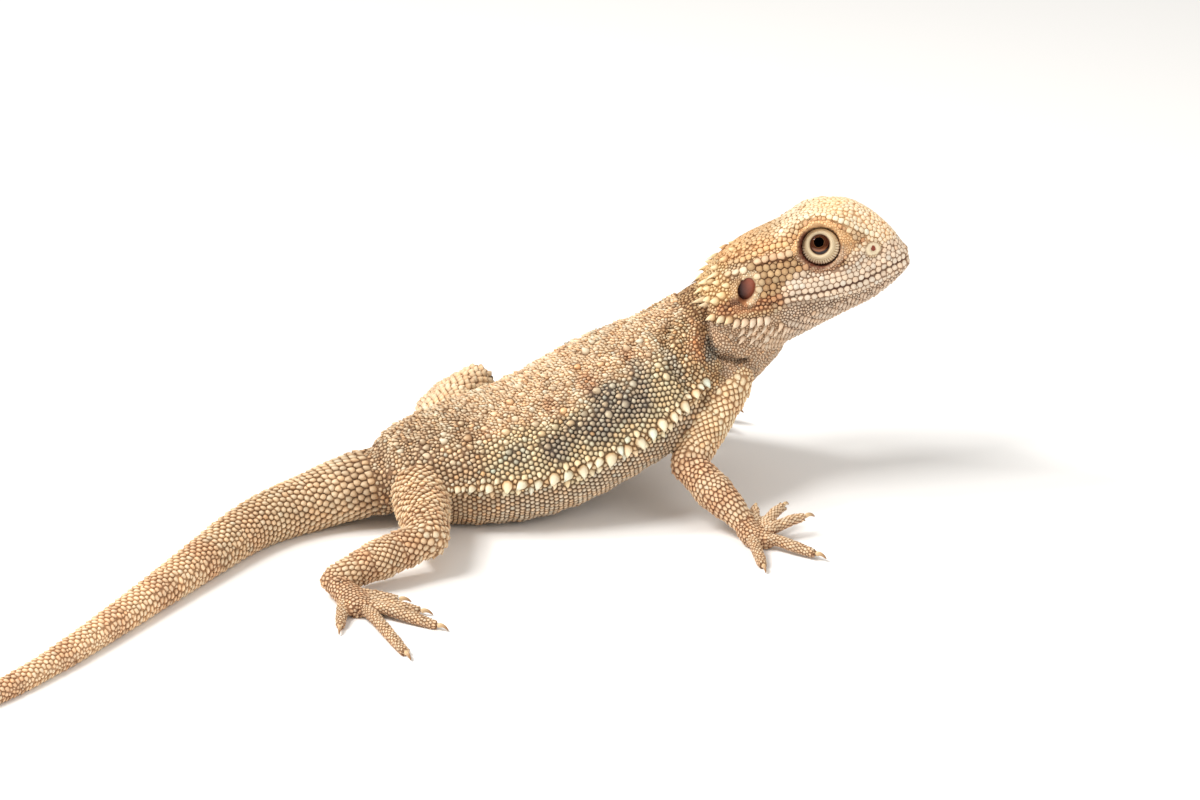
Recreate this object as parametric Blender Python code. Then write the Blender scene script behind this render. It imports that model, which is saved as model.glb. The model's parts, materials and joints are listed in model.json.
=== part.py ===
"""A young central bearded dragon, life size, as a still museum model.

The animal props itself on its front legs with the head raised. The hind belly, the tail and both
hind feet lie on the floor. Lengths are in millimetres and become metres where a mesh is made.
Working places are measured from the floor point between the two hands, with the head towards +X
and the animal's right side towards -Y. The finished model is then centred over its own footprint.
"""

import math
from collections import namedtuple

import bmesh
import bpy
from mathutils import Matrix, Vector

MM = 0.001
GAP = 0.3
FLOOR = 0.0

# Around the body
TRUNK_SIDES = 24
BODY_STEPS = 2
TAIL_SIDES = 12
HEAD_SIDES = 20
LIMB_SIDES = 10
DIGIT_SIDES = 6

# Head, in its own frame: x forward along the mouth line, z up, origin midway between the eardrums
EAR_MIDPOINT = Vector((29.6, 0.6, 45.4))
HEAD_PITCH = 11.0
HEAD_YAW = -2.0
EYE_X, EYE_SIDE, EYE_Z = 16.7, 4.7, 4.6
LID_RADIUS, SOCKET_RADIUS, EYE_RADIUS, LID_OPENING = 4.5, 3.9, 3.6, 2.2
MOUTH_Z, MOUTH_CORNER_X = -4.5, 5.0
EARDRUM_SIDE = 11.3
NOSTRIL_X, NOSTRIL_SIDE, NOSTRIL_Z, NOSTRIL_RADIUS = 27.4, 5.6, 1.2, 0.6

# Tail: a heading in plan, in degrees from +X, that bends towards the right side and eases back
TAIL_LENGTH = 163.0
TAIL_START = Vector((-43.5, -20.3, 8.0))
TAIL_ROOT_RADIUS, TAIL_TIP_RADIUS = 7.4, 0.7
TAIL_PIECES = 5
TAIL_STEPS = 30

Section = namedtuple("Section", "centre half_width above below")
Limb = namedtuple("Limb", "name root bend end upper_radii lower_radii")
Foot = namedtuple("Foot", "name limb centre half_width half_height heading digits")
Digit = namedtuple("Digit", "spread length set_back lift")

SKIN = (0.66, 0.53, 0.36)
SKIN_PALE = (0.74, 0.63, 0.47)
CLAW = (0.42, 0.33, 0.22)
EYE = (0.08, 0.04, 0.02)
EARDRUM = (0.20, 0.07, 0.05)

# Trunk and neck in one row, from the vent forward to inside the head
BODY = [
    Section((-43.5, -20.3, 8.0), 8.8, 7.6, 8.4),
    Section((-37.0, -18.4, 9.6), 13.2, 9.6, 10.4),
    Section((-29.0, -16.1, 10.6), 16.6, 11.0, 11.8),
    Section((-20.0, -13.4, 11.4), 19.2, 12.0, 12.4),
    Section((-11.0, -10.6, 13.2), 20.6, 13.0, 12.0),
    Section((-2.0, -7.8, 16.6), 21.0, 13.8, 11.0),
    Section((6.0, -5.2, 20.2), 19.8, 14.0, 10.8),
    Section((13.0, -3.1, 24.0), 16.8, 13.2, 11.2),
    Section((19.6, -1.2, 28.6), 13.8, 12.0, 11.6),
    Section((24.2, 0.0, 33.2), 11.8, 10.6, 12.2),
    Section((27.4, 0.6, 37.6), 10.4, 9.0, 12.6),
    Section((29.0, 0.8, 40.6), 7.0, 6.0, 5.0),
]
TRUNK_ROWS = 9

# Head stations: x, half width, height of the widest point, top, bottom, narrowing of the crown,
# and its squareness, where 2 is a plain ellipse and more is flatter on top
HEAD_STATIONS = [
    (-9.8, 6.2, -5.6, -2.0, -9.4, 0.10, 2.2),
    (-8.4, 10.2, -5.2, 0.4, -11.6, 0.20, 2.3),
    (-4.8, 12.9, -4.6, 3.8, -14.6, 0.28, 2.5),
    (0.4, 13.4, -4.2, 6.6, -16.0, 0.32, 2.8),
    (5.4, 12.5, -4.2, 8.2, -15.4, 0.30, 3.0),
    (10.4, 11.3, -4.2, 9.4, -13.9, 0.22, 3.3),
    (14.8, 10.3, -4.2, 10.4, -12.4, 0.14, 3.6),
    (19.2, 9.3, -4.2, 10.8, -11.0, 0.10, 3.7),
    (22.8, 8.2, -4.2, 11.0, -10.0, 0.14, 3.4),
    (26.0, 6.9, -4.2, 9.4, -9.0, 0.20, 3.0),
    (28.7, 5.7, -4.2, 6.8, -8.0, 0.26, 2.7),
    (31.0, 4.5, -4.1, 3.6, -6.9, 0.26, 2.5),
    (32.7, 2.8, -3.9, 0.2, -5.7, 0.20, 2.3),
    (33.4, 1.3, -3.7, -1.9, -4.8, 0.10, 2.2),
]

JOINT_ROUNDING = (38, 72)
ARM_UPPER, ARM_LOWER = (3.9, 4.0, 3.5), (3.0, 3.8, 2.2)
LEG_UPPER, LEG_LOWER = (5.6, 5.2, 3.9), (3.3, 3.7, 2.2)
LIMBS = [
    Limb("right_arm", (27.6, -9.0, 25.4), (17.6, -23.0, 12.4), (28.6, -33.0, 4.2), ARM_UPPER, ARM_LOWER),
    Limb("left_arm", (23.0, 10.0, 25.4), (9.5, 21.6, 12.4), (15.0, 32.0, 4.2), ARM_UPPER, ARM_LOWER),
    Limb("right_leg", (-37.0, -23.0, 9.6), (-33.5, -49.5, 7.6), (-51.5, -60.5, 3.6), LEG_UPPER, LEG_LOWER),
    Limb("left_leg", (-37.5, -12.0, 10.6), (-26.5, 12.5, 16.4), (-38.0, 30.0, 4.0), LEG_UPPER, LEG_LOWER),
]
SEGMENT_NAMES = {"arm": ("upper_arm", "forearm"), "leg": ("thigh", "shank")}

# Digits from the first, or inner, to the fifth: spread from the foot's heading, length, set-back
# of the root from the front of the sole, and how far the tip is held off the floor. A positive
# spread turns towards the body's midline.
HAND_DIGITS = [
    Digit(88, 7.4, 1.6, 3.6),
    Digit(64, 10.0, 0.8, 3.6),
    Digit(37, 9.8, 0.2, 3.0),
    Digit(-26, 11.6, 0.2, 0.4),
    Digit(-74, 10.6, 1.8, 0.0),
]
HIND_DIGITS = [
    Digit(60, 8.0, 4.6, 0.0),
    Digit(46, 11.4, 2.0, 0.0),
    Digit(31, 15.6, 0.4, 0.0),
    Digit(-5, 20.0, 0.0, 0.0),
    Digit(-32, 11.6, 6.0, 0.0),
]
FEET = [
    Foot("right_hand", "right_arm", (31.7, -35.8, 1.7), 3.0, 1.8, -6, HAND_DIGITS),
    Foot("left_hand", "left_arm", (19.2, 34.8, 1.7), 3.0, 1.8, 12, HAND_DIGITS),
    Foot("right_foot", "right_leg", (-45.6, -67.6, 1.7), 3.2, 1.8, -58, HIND_DIGITS),
    Foot("left_foot", "left_leg", (-30.4, 35.0, 1.7), 3.2, 1.8, 32, HIND_DIGITS),
]
SOLE_RISE, SOLE_DEPTH = 1.7, 2.2
DIGIT_RADII = (1.25, 1.1, 1.05, 0.85)
CLAW_LENGTH, CLAW_RADIUS, CLAW_TIP = 2.4, 0.62, 0.12


# ---- the scene, collections and materials ----


def clear_scene():
    for obj in list(bpy.data.objects):
        bpy.data.objects.remove(obj, do_unlink=True)


def new_collection(name, rendered=True):
    collection = bpy.data.collections.new(name)
    collection.hide_render = not rendered
    bpy.context.scene.collection.children.link(collection)
    return collection


def new_material(name, colour, roughness):
    material = bpy.data.materials.new(name)
    material.use_nodes = True
    shader = material.node_tree.nodes["Principled BSDF"]
    shader.inputs["Base Color"].default_value = (*colour, 1.0)
    shader.inputs["Roughness"].default_value = roughness
    shader.inputs["Metallic"].default_value = 0.0
    return material


def place(name, bm, collection, material=None):
    """Makes an object of a bmesh that is in millimetres, with its normals outward and smooth sides."""
    bmesh.ops.recalc_face_normals(bm, faces=bm.faces)
    bmesh.ops.scale(bm, vec=(MM, MM, MM), verts=bm.verts)
    mesh = bpy.data.meshes.new(name)
    bm.to_mesh(mesh)
    bm.free()
    mesh.shade_smooth()
    obj = bpy.data.objects.new(name, mesh)
    collection.objects.link(obj)
    if material:
        mesh.materials.append(material)
    if collection.hide_render:
        obj.hide_render = True
        obj.display_type = "WIRE"
    return obj


# ---- smooth rows, rings and lofts ----


def curve_through(rows, steps):
    """Rows of numbers, smoothly filled in so that each span between two rows has `steps` parts."""
    filled = []
    for i in range(len(rows) - 1):
        before, here = rows[max(i - 1, 0)], rows[i]
        there, after = rows[i + 1], rows[min(i + 2, len(rows) - 1)]
        for k in range(steps):
            t = k / steps
            filled.append([
                0.5 * (2 * b + (c - a) * t + (2 * a - 5 * b + 4 * c - d) * t**2 + (3 * b - a - 3 * c + d) * t**3)
                for a, b, c, d in zip(before, here, there, after)
            ])
    filled.append(list(rows[-1]))
    return filled


def smooth_sections(sections, steps):
    rows = [[*s.centre, s.half_width, s.above, s.below] for s in sections]
    return [Section(Vector(r[:3]), *r[3:]) for r in curve_through(rows, steps)]


def rounded(value, power):
    """A sine or cosine swelled towards a box: a power of 2 keeps the ellipse."""
    return math.copysign(abs(value) ** (2 / power), value)


def section_ring(section, tangent, sides, under_power):
    """The ring of points of a body section that stands across its tangent."""
    side = Vector((0, 0, 1)).cross(tangent).normalized()
    up = tangent.cross(side)
    ring = []
    for k in range(sides):
        angle = 2 * math.pi * (k + 0.5) / sides
        across, rise = math.cos(angle), math.sin(angle)
        power = 2.0 if rise > 0 else under_power
        height = section.above if rise > 0 else section.below
        point = section.centre + side * section.half_width * rounded(across, power)
        ring.append(point + up * height * rounded(rise, power))
    return ring


def loft(name, rings, collection, material=None, on_floor=False):
    """A closed solid through rings of equal count, with a flat cap at each end."""
    bm = bmesh.new()
    loops = []
    for ring in rings:
        if on_floor:
            ring = [Vector((p.x, p.y, max(p.z, FLOOR))) for p in ring]
        loops.append([bm.verts.new(p) for p in ring])
    for one, two in zip(loops, loops[1:]):
        for k in range(len(one)):
            after = (k + 1) % len(one)
            bm.faces.new((one[k], one[after], two[after], two[k]))
    bm.faces.new(loops[0])
    bm.faces.new(loops[-1])
    return place(name, bm, collection, material)


def rings_of(sections, sides, under_power=2.0):
    rings = []
    last = len(sections) - 1
    for i, section in enumerate(sections):
        tangent = sections[min(i + 1, last)].centre - sections[max(i - 1, 0)].centre
        rings.append(section_ring(section, tangent.normalized(), sides, under_power))
    return rings


def pull_back(rings, distance):
    """The rings with the first one moved towards the second, which leaves the gap to a neighbour."""
    step = (sum_of(rings[1]) - sum_of(rings[0])) / len(rings[0])
    share = distance / step.length
    first = [a.lerp(b, share) for a, b in zip(rings[0], rings[1])]
    return [first, *rings[1:]]


def sum_of(points):
    total = Vector()
    for point in points:
        total += point
    return total


# ---- joining and parting solids ----


def apply_modifiers(obj):
    graph = bpy.context.evaluated_depsgraph_get()
    mesh = bpy.data.meshes.new_from_object(obj.evaluated_get(graph))
    obj.modifiers.clear()
    obj.data = mesh
    return obj


def combine(obj, other, operation):
    modifier = obj.modifiers.new(operation.title(), "BOOLEAN")
    modifier.operation = operation
    modifier.object = other
    modifier.solver = "EXACT"
    return apply_modifiers(obj)


def join_all(obj, others):
    for other in others:
        combine(obj, other, "UNION")
        bpy.data.objects.remove(other, do_unlink=True)
    return obj


def grown_copy(obj, cutters, by=GAP):
    """A cutter the shape of a finished piece and larger by the gap all over."""
    bm = bmesh.new()
    bm.from_mesh(obj.data)
    bm.normal_update()
    moved = [(vert, vert.co + vert.normal * by * MM) for vert in bm.verts]
    for vert, co in moved:
        vert.co = co
    bmesh.ops.scale(bm, vec=(1 / MM, 1 / MM, 1 / MM), verts=bm.verts)
    return place(obj.name + "_cutter", bm, cutters)


def clear_of(obj, neighbour, cutters):
    """Parts a piece from its neighbour with a thin cut."""
    return combine(obj, grown_copy(neighbour, cutters), "DIFFERENCE")


def ball(name, centre, radii, frame, collection, segments=16):
    """An ellipsoid in a frame, as a solid or a cutter."""
    bm = bmesh.new()
    bmesh.ops.create_uvsphere(bm, u_segments=segments, v_segments=segments // 2, radius=1.0)
    scale = Matrix.Diagonal((*radii, 1.0))
    bmesh.ops.transform(bm, matrix=frame @ Matrix.Translation(centre) @ scale, verts=bm.verts)
    return place(name, bm, collection)


def box(name, low, high, frame, collection):
    bm = bmesh.new()
    bmesh.ops.create_cube(bm, size=1.0)
    low, high = Vector(low), Vector(high)
    scale = Matrix.Diagonal((*(high - low), 1.0))
    bmesh.ops.transform(bm, matrix=frame @ Matrix.Translation((low + high) / 2) @ scale, verts=bm.verts)
    return place(name, bm, collection)


# ---- trunk, neck and tail ----


def make_trunk_and_neck(parts, material):
    """One run of rings, parted at the shoulders."""
    rings = rings_of(smooth_sections(BODY, BODY_STEPS), TRUNK_SIDES, 2.5)
    shoulder = (TRUNK_ROWS - 1) * BODY_STEPS
    trunk = loft("trunk", rings[:shoulder + 1], parts, material, on_floor=True)
    neck = loft("neck", pull_back(rings[shoulder:], GAP), parts, material)
    return trunk, neck


def tail_heading(share):
    """Degrees in plan at a share of the tail's length, from straight behind the hips to a soft bend."""
    bend = 46 * smooth_step(share / 0.24)
    ease = 30 * smooth_step((share - 0.46) / 0.5)
    return 197 + bend - ease


def smooth_step(t):
    t = min(max(t, 0.0), 1.0)
    return t * t * (3 - 2 * t)


def tail_sections():
    sections = []
    centre = TAIL_START.copy()
    step = TAIL_LENGTH / TAIL_STEPS
    for i in range(TAIL_STEPS + 1):
        share = i / TAIL_STEPS
        left = 1 - share
        radius = TAIL_TIP_RADIUS + (TAIL_ROOT_RADIUS - TAIL_TIP_RADIUS) * (0.55 * left + 0.45 * left**4)
        height = radius * (0.90 + 0.06 * share)
        resting = height * 0.94
        centre.z = resting + (TAIL_START.z - resting) * (1 - smooth_step(share / 0.12))
        width = radius * (1 + 0.16 * (1 - smooth_step(share / 0.1)))
        sections.append(Section(centre.copy(), width, height, height))
        heading = math.radians(tail_heading(share))
        centre += Vector((math.cos(heading), math.sin(heading), 0)) * step
    return sections


def make_tail(parts, material):
    """The tail in lengths, each with its first ring pulled back from the piece before it."""
    rings = rings_of(tail_sections(), TAIL_SIDES, 2.2)
    per_piece = TAIL_STEPS // TAIL_PIECES
    pieces = []
    for i in range(TAIL_PIECES):
        piece = pull_back(rings[i * per_piece:(i + 1) * per_piece + 1], GAP)
        pieces.append(loft(f"tail_{i + 1}", piece, parts, material, on_floor=True))
    return pieces[0]


# ---- head ----


def head_frame():
    turn = Matrix.Rotation(math.radians(HEAD_YAW), 4, "Z") @ Matrix.Rotation(math.radians(-HEAD_PITCH), 4, "Y")
    return Matrix.Translation(EAR_MIDPOINT) @ turn


def head_rings(frame):
    rings = []
    for x, half_width, widest, top, bottom, narrowing, crown in curve_through(HEAD_STATIONS, 2):
        ring = []
        for k in range(HEAD_SIDES):
            angle = 2 * math.pi * k / HEAD_SIDES
            across, rise = math.cos(angle), math.sin(angle)
            power = crown if rise > 0 else 2.2
            height = top - widest if rise > 0 else widest - bottom
            narrow = 1 - narrowing * max(rise, 0)
            y = half_width * rounded(across, power) * narrow
            ring.append(frame @ Vector((x, y, widest + height * rounded(rise, power))))
        rings.append(ring)
    return rings


def make_head(parts, cutters, materials):
    """Makes the head, jaw, eyes and eardrums, and returns a cutter the size of the whole head."""
    frame = head_frame()
    head = loft("head", head_rings(frame), parts, materials["skin"])
    for side, label in ((-1, "right"), (1, "left")):
        eye_place = (EYE_X, side * EYE_SIDE, EYE_Z)
        lid = ball("lid", eye_place, (LID_RADIUS,) * 3, frame, cutters, 18)
        combine(head, lid, "UNION")
        socket = ball("socket", eye_place, (SOCKET_RADIUS,) * 3, frame, cutters, 14)
        combine(head, socket, "DIFFERENCE")
        opening = ball("lid_opening", (EYE_X, side * (EYE_SIDE + 4), EYE_Z), (LID_OPENING, 3, LID_OPENING), frame, cutters, 12)
        combine(head, opening, "DIFFERENCE")
        recess = ball("ear_recess", (0, side * (EARDRUM_SIDE + 0.9), 0), (1.9, 2.2, 2.7), frame, cutters, 12)
        combine(head, recess, "DIFFERENCE")
        nostril = ball("nostril", (NOSTRIL_X, side * NOSTRIL_SIDE, NOSTRIL_Z), (NOSTRIL_RADIUS, 1.2, NOSTRIL_RADIUS), frame, cutters, 8)
        combine(head, nostril, "DIFFERENCE")
        eye = ball(f"{label}_eye", eye_place, (EYE_RADIUS,) * 3, frame, parts, 14)
        eye.data.materials.append(materials["eye"])
        eardrum = ball(f"{label}_eardrum", (0, side * EARDRUM_SIDE, 0), (1.25, 0.5, 2.0), frame, parts, 10)
        eardrum.data.materials.append(materials["eardrum"])
    space = grown_copy(head, cutters)
    part_jaw(head, frame, parts, cutters, materials["pale"])
    return space


def part_jaw(head, frame, parts, cutters, material):
    """Parts the lower jaw from the head along the mouth line and across at the mouth's corner."""
    below = box("jaw_space", (MOUTH_CORNER_X, -30, -40), (60, 30, MOUTH_Z), frame, cutters)
    keep = box("jaw_keep", (MOUTH_CORNER_X + GAP, -29, -39), (59, 29, MOUTH_Z - GAP), frame, cutters)
    jaw = bpy.data.objects.new("lower_jaw", head.data.copy())
    parts.objects.link(jaw)
    jaw.data.materials.clear()
    jaw.data.materials.append(material)
    combine(jaw, keep, "INTERSECT")
    combine(head, below, "DIFFERENCE")


# ---- legs, feet and claws ----


def limb_sections(start, end, radii):
    """A leg segment: radii at its root, middle and far end, with a rounded joint at each end."""
    start, end = Vector(start), Vector(end)
    along = (end - start).normalized()
    rows = []
    for share, radius in zip((0.0, 0.5, 1.0), radii):
        rows.append(Section(start.lerp(end, share), radius, radius, radius))
    sections = smooth_sections(rows, 2)
    for degrees in JOINT_ROUNDING:
        sections.insert(0, joint_section(start, -along, radii[0], degrees))
        sections.append(joint_section(end, along, radii[-1], degrees))
    return sections


def joint_section(centre, outward, radius, degrees):
    turn = math.radians(degrees)
    small = radius * math.cos(turn)
    return Section(centre + outward * radius * math.sin(turn), small, small, small)


def make_limb(limb, bodies, parts, cutters, material):
    side, kind = limb.name.split("_")
    upper_name, lower_name = SEGMENT_NAMES[kind]
    upper_rings = rings_of(limb_sections(limb.root, limb.bend, limb.upper_radii), LIMB_SIDES)
    lower_rings = rings_of(limb_sections(limb.bend, limb.end, limb.lower_radii), LIMB_SIDES)
    upper = loft(f"{side}_{upper_name}", upper_rings, parts, material)
    lower = loft(f"{side}_{lower_name}", lower_rings, parts, material)
    clear_of(lower, upper, cutters)
    for body in bodies:
        clear_of(upper, body, cutters)
    return lower


def digit_path(foot, digit, inward):
    """Root, two knuckles and tip of a digit: it arches off the sole and comes down to the floor."""
    heading = math.radians(foot.heading + inward * digit.spread)
    along = Vector((math.cos(heading), math.sin(heading), 0))
    facing = math.radians(foot.heading)
    forward = Vector((math.cos(facing), math.sin(facing), 0))
    root = Vector(foot.centre) - forward * digit.set_back
    root.z = SOLE_RISE
    lifts = (0.0, 0.3 * digit.lift, 0.8 * digit.lift, digit.lift)
    heights = [rest + lift for rest, lift in zip((SOLE_RISE, SOLE_RISE + 0.35, 1.35, 0.8), lifts)]
    reach = foot.half_width * 0.4 + digit.length
    points = []
    for share, height in zip((0.0, 0.34, 0.7, 1.0), heights):
        point = root + along * reach * share
        point.z = height
        points.append(point)
    return points, along


def digit_sections(points, radii):
    rows = [Section(p, r, r, r) for p, r in zip(points, radii)]
    return smooth_sections(rows, 1)


def make_claw(name, tip, along, parts, material):
    """A claw that starts just off the digit's end, rises a little and hooks down to the floor."""
    start = tip + along * GAP
    start.z = tip.z + 0.05
    rows = []
    for share, lift, thin in ((0.0, 0.0, 1.0), (0.35, 0.28, 0.8), (0.7, 0.05, 0.5), (1.0, -0.55, 0.0)):
        radius = CLAW_TIP + (CLAW_RADIUS - CLAW_TIP) * thin
        centre = start + along * CLAW_LENGTH * share + Vector((0, 0, lift))
        rows.append(Section(centre, radius * 0.8, radius, radius))
    return loft(name, rings_of(rows, DIGIT_SIDES), parts, material, on_floor=True)


def make_foot(foot, limb_end, lower, ground, parts, cutters, materials):
    """The sole and its digits as one piece on the floor, and a claw at the end of each digit."""
    facing = math.radians(foot.heading)
    forward = Vector((math.cos(facing), math.sin(facing), 0))
    centre = Vector(foot.centre)
    rows = [
        Section(Vector(limb_end), 2.1, 2.0, 2.0),
        Section(Vector(limb_end).lerp(centre - forward * 1.2, 0.6), foot.half_width * 0.85, 1.9, 2.1),
        Section(centre - forward * 0.4, foot.half_width, foot.half_height, SOLE_DEPTH),
        Section(centre + forward * 2.0, foot.half_width * 0.8, foot.half_height * 0.8, SOLE_DEPTH),
    ]
    sole = loft(foot.name, rings_of(smooth_sections(rows, 2), LIMB_SIDES), parts, materials["skin"])
    inward = 1 if foot.name.startswith("right") else -1
    digits = []
    for number, digit in enumerate(foot.digits, 1):
        points, along = digit_path(foot, digit, inward)
        rings = rings_of(digit_sections(points, DIGIT_RADII), DIGIT_SIDES)
        digits.append(loft(f"{foot.name}_digit_{number}", rings, parts))
        make_claw(f"{foot.name}_claw_{number}", points[-1], along, parts, materials["claw"])
    join_all(sole, digits)
    clear_of(sole, lower, cutters)
    return combine(sole, ground, "DIFFERENCE")


# ---- the whole animal ----


def centre_over_footprint(parts):
    """Moves the finished model so that its box stands centred on the origin, on the floor."""
    corners = [vert.co for obj in parts.objects for vert in obj.data.vertices]
    low = [min(co[i] for co in corners) for i in range(3)]
    high = [max(co[i] for co in corners) for i in range(3)]
    shift = Matrix.Translation((-(low[0] + high[0]) / 2, -(low[1] + high[1]) / 2, -low[2]))
    for mesh in {obj.data for obj in parts.objects}:
        mesh.transform(shift)


def main():
    clear_scene()
    parts = new_collection("bearded_dragon")
    cutters = new_collection("cutters", rendered=False)
    materials = {
        "skin": new_material("scaly_skin", SKIN, 0.62),
        "pale": new_material("pale_throat_skin", SKIN_PALE, 0.6),
        "claw": new_material("claw", CLAW, 0.35),
        "eye": new_material("eye", EYE, 0.08),
        "eardrum": new_material("eardrum", EARDRUM, 0.4),
    }
    trunk, neck = make_trunk_and_neck(parts, materials["skin"])
    head_space = make_head(parts, cutters, materials)
    combine(neck, head_space, "DIFFERENCE")
    tail_root = make_tail(parts, materials["skin"])
    clear_of(tail_root, trunk, cutters)
    ground = box("ground", (-300, -300, -50), (300, 300, FLOOR), Matrix.Identity(4), cutters)
    limbs = {limb.name: limb for limb in LIMBS}
    lowers = {limb.name: make_limb(limb, (trunk, neck, tail_root), parts, cutters, materials["skin"]) for limb in LIMBS}
    for foot in FEET:
        make_foot(foot, limbs[foot.limb].end, lowers[foot.limb], ground, parts, cutters, materials)
    centre_over_footprint(parts)


main()
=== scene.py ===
# %% [markdown]
# # A young bearded dragon, life size
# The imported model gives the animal's solids: trunk, neck, head, jaw, tail and legs as plain smooth
# pieces. This script dresses them: one continuous skin, then some twenty thousand scales, the eyes,
# lids, eardrums and claws. It starts by loading the solids as a fixed frame and keeping their box.

# %% Load the solids
import json
import math

import bpy
import numpy as np
from mathutils import Matrix, Vector
from mathutils.bvhtree import BVHTree
from mathutils.kdtree import KDTree

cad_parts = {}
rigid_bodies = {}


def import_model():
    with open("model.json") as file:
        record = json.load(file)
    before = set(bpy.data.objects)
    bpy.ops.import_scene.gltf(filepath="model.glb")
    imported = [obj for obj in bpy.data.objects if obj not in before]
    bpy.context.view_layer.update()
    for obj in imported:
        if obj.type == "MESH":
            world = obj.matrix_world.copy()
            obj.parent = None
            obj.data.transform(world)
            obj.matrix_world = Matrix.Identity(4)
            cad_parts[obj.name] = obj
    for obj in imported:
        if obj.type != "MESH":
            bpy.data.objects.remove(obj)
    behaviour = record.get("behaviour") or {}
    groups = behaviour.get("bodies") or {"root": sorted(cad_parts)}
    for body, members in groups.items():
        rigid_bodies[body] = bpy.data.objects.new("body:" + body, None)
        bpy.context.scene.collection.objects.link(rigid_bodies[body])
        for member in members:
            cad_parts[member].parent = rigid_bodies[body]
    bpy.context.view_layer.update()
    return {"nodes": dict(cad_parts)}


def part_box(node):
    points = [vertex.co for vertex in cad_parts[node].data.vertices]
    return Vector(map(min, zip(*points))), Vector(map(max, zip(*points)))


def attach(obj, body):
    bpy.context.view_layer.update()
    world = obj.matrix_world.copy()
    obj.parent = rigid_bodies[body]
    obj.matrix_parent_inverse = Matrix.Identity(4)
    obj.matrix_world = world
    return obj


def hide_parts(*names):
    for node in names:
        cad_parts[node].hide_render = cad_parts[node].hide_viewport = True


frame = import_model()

MM = 0.001
SEED = 11
random = np.random.default_rng(SEED)

# %% [markdown]
# ## Working places
# Every length below is in millimetres, measured from the floor point between the two hands, with the
# head towards +X and the animal's right side towards -Y. The head has a frame of its own, x forward
# along the mouth and z up, because all its features are easier to place that way. The right eye's
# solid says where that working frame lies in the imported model.

# %% The head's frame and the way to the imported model
EAR_MIDPOINT = Vector((29.6, 0.6, 45.4))
HEAD_PITCH, HEAD_YAW = 11.0, -2.0
EYE_CENTRE = (16.7, 4.7, 4.6)
EYE_RADIUS = 3.6


def rotation_about(axis, degrees):
    return Matrix.Rotation(math.radians(degrees), 4, axis)


head_turn = rotation_about("Z", HEAD_YAW) @ rotation_about("Y", -HEAD_PITCH)
HEAD_AXES = np.array(head_turn.to_3x3())
HEAD_ORIGIN = np.array(EAR_MIDPOINT)


def from_head(points):
    return np.asarray(points, float) @ HEAD_AXES.T + HEAD_ORIGIN


def to_head(points):
    return (np.asarray(points, float) - HEAD_ORIGIN) @ HEAD_AXES


def on_side(place, side):
    """A place or a line of the head, given for its left side, 1, on that side or on the right, -1."""
    return np.array(place) * (1, side, 1)


eye_low, eye_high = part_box("right_eye")
SHIFT = np.array((eye_low + eye_high) / 2) / MM - from_head(on_side(EYE_CENTRE, -1))
print("working frame is moved by", SHIFT.round(2), "mm")


def to_model(points):
    return (np.asarray(points, float) + SHIFT) * MM


def from_model(points):
    return np.asarray(points, float) / MM - SHIFT


# %% [markdown]
# ## The body's axes
# A lizard's scales run in rows around the body, the tail, each leg and each toe. So each of these
# gets an axis: a smooth line with a width, a height above it and a depth below it at every point.
# The same axes later say which part a point of the skin belongs to, how far along it is, which side
# of the body it is on, and which way its scales lie.

# %% Smooth lines and their frames
def smooth_rows(rows, steps):
    """Rows of numbers, smoothly filled in so that each span between two rows has `steps` parts."""
    rows = np.array(rows, float)
    filled = []
    for i in range(len(rows) - 1):
        a, b = rows[max(i - 1, 0)], rows[i]
        c, d = rows[i + 1], rows[min(i + 2, len(rows) - 1)]
        for k in range(steps):
            t = k / steps
            slope, curve, twist = c - a, 2 * a - 5 * b + 4 * c - d, 3 * b - a - 3 * c + d
            filled.append(0.5 * (2 * b + slope * t + curve * t**2 + twist * t**3))
    filled.append(rows[-1])
    return np.array(filled)


def lengths_along(line):
    """The distance along a line at each of its places."""
    return np.concatenate([[0], np.cumsum(np.linalg.norm(np.diff(line, axis=0), axis=1))])


def unit(vectors):
    return vectors / np.maximum(np.linalg.norm(vectors, axis=-1, keepdims=True), 1e-9)


def smooth_step(t):
    t = np.clip(t, 0.0, 1.0)
    return t * t * (3 - 2 * t)


def ramp(value, start, span):
    """0 up to the start, rising to 1 over the span. A negative span rises towards lower values."""
    return smooth_step((value - start) / span)


def bell(value, middle, width):
    """1 at the middle, falling away smoothly on both sides."""
    return np.exp(-((value - middle) / width) ** 2)


def band(value, low, high, soft):
    """1 between two values, falling to 0 over a soft distance outside them."""
    return smooth_step((value - low) / soft + 1) * smooth_step((high - value) / soft + 1)


class Axis:
    """A line of centres with half width, height above and depth below, and a frame at each point."""

    def __init__(self, name, rows, lie=1, up_hint=(0, 0, 1)):
        rows = np.asarray(rows, float)
        self.name, self.lie = name, lie
        self.centre, self.sizes = rows[:, :3], rows[:, 3:6]
        self.tangent = unit(np.gradient(self.centre, axis=0))
        self.side = unit(np.cross(np.array(up_hint, float), self.tangent))
        self.up = np.cross(self.tangent, self.side)
        self.along = lengths_along(self.centre)

    @property
    def length(self):
        return self.along[-1]

    def at(self, distance):
        """Centre, sizes, tangent, side and up at a distance along the line."""
        fields = (self.centre, self.sizes, self.tangent, self.side, self.up)
        return [np.array([np.interp(distance, self.along, f[:, i]) for i in range(3)]) for f in fields]


print("a bell at 0, 1 and 2 widths:", bell(np.arange(3), 0, 1).round(2))

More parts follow.
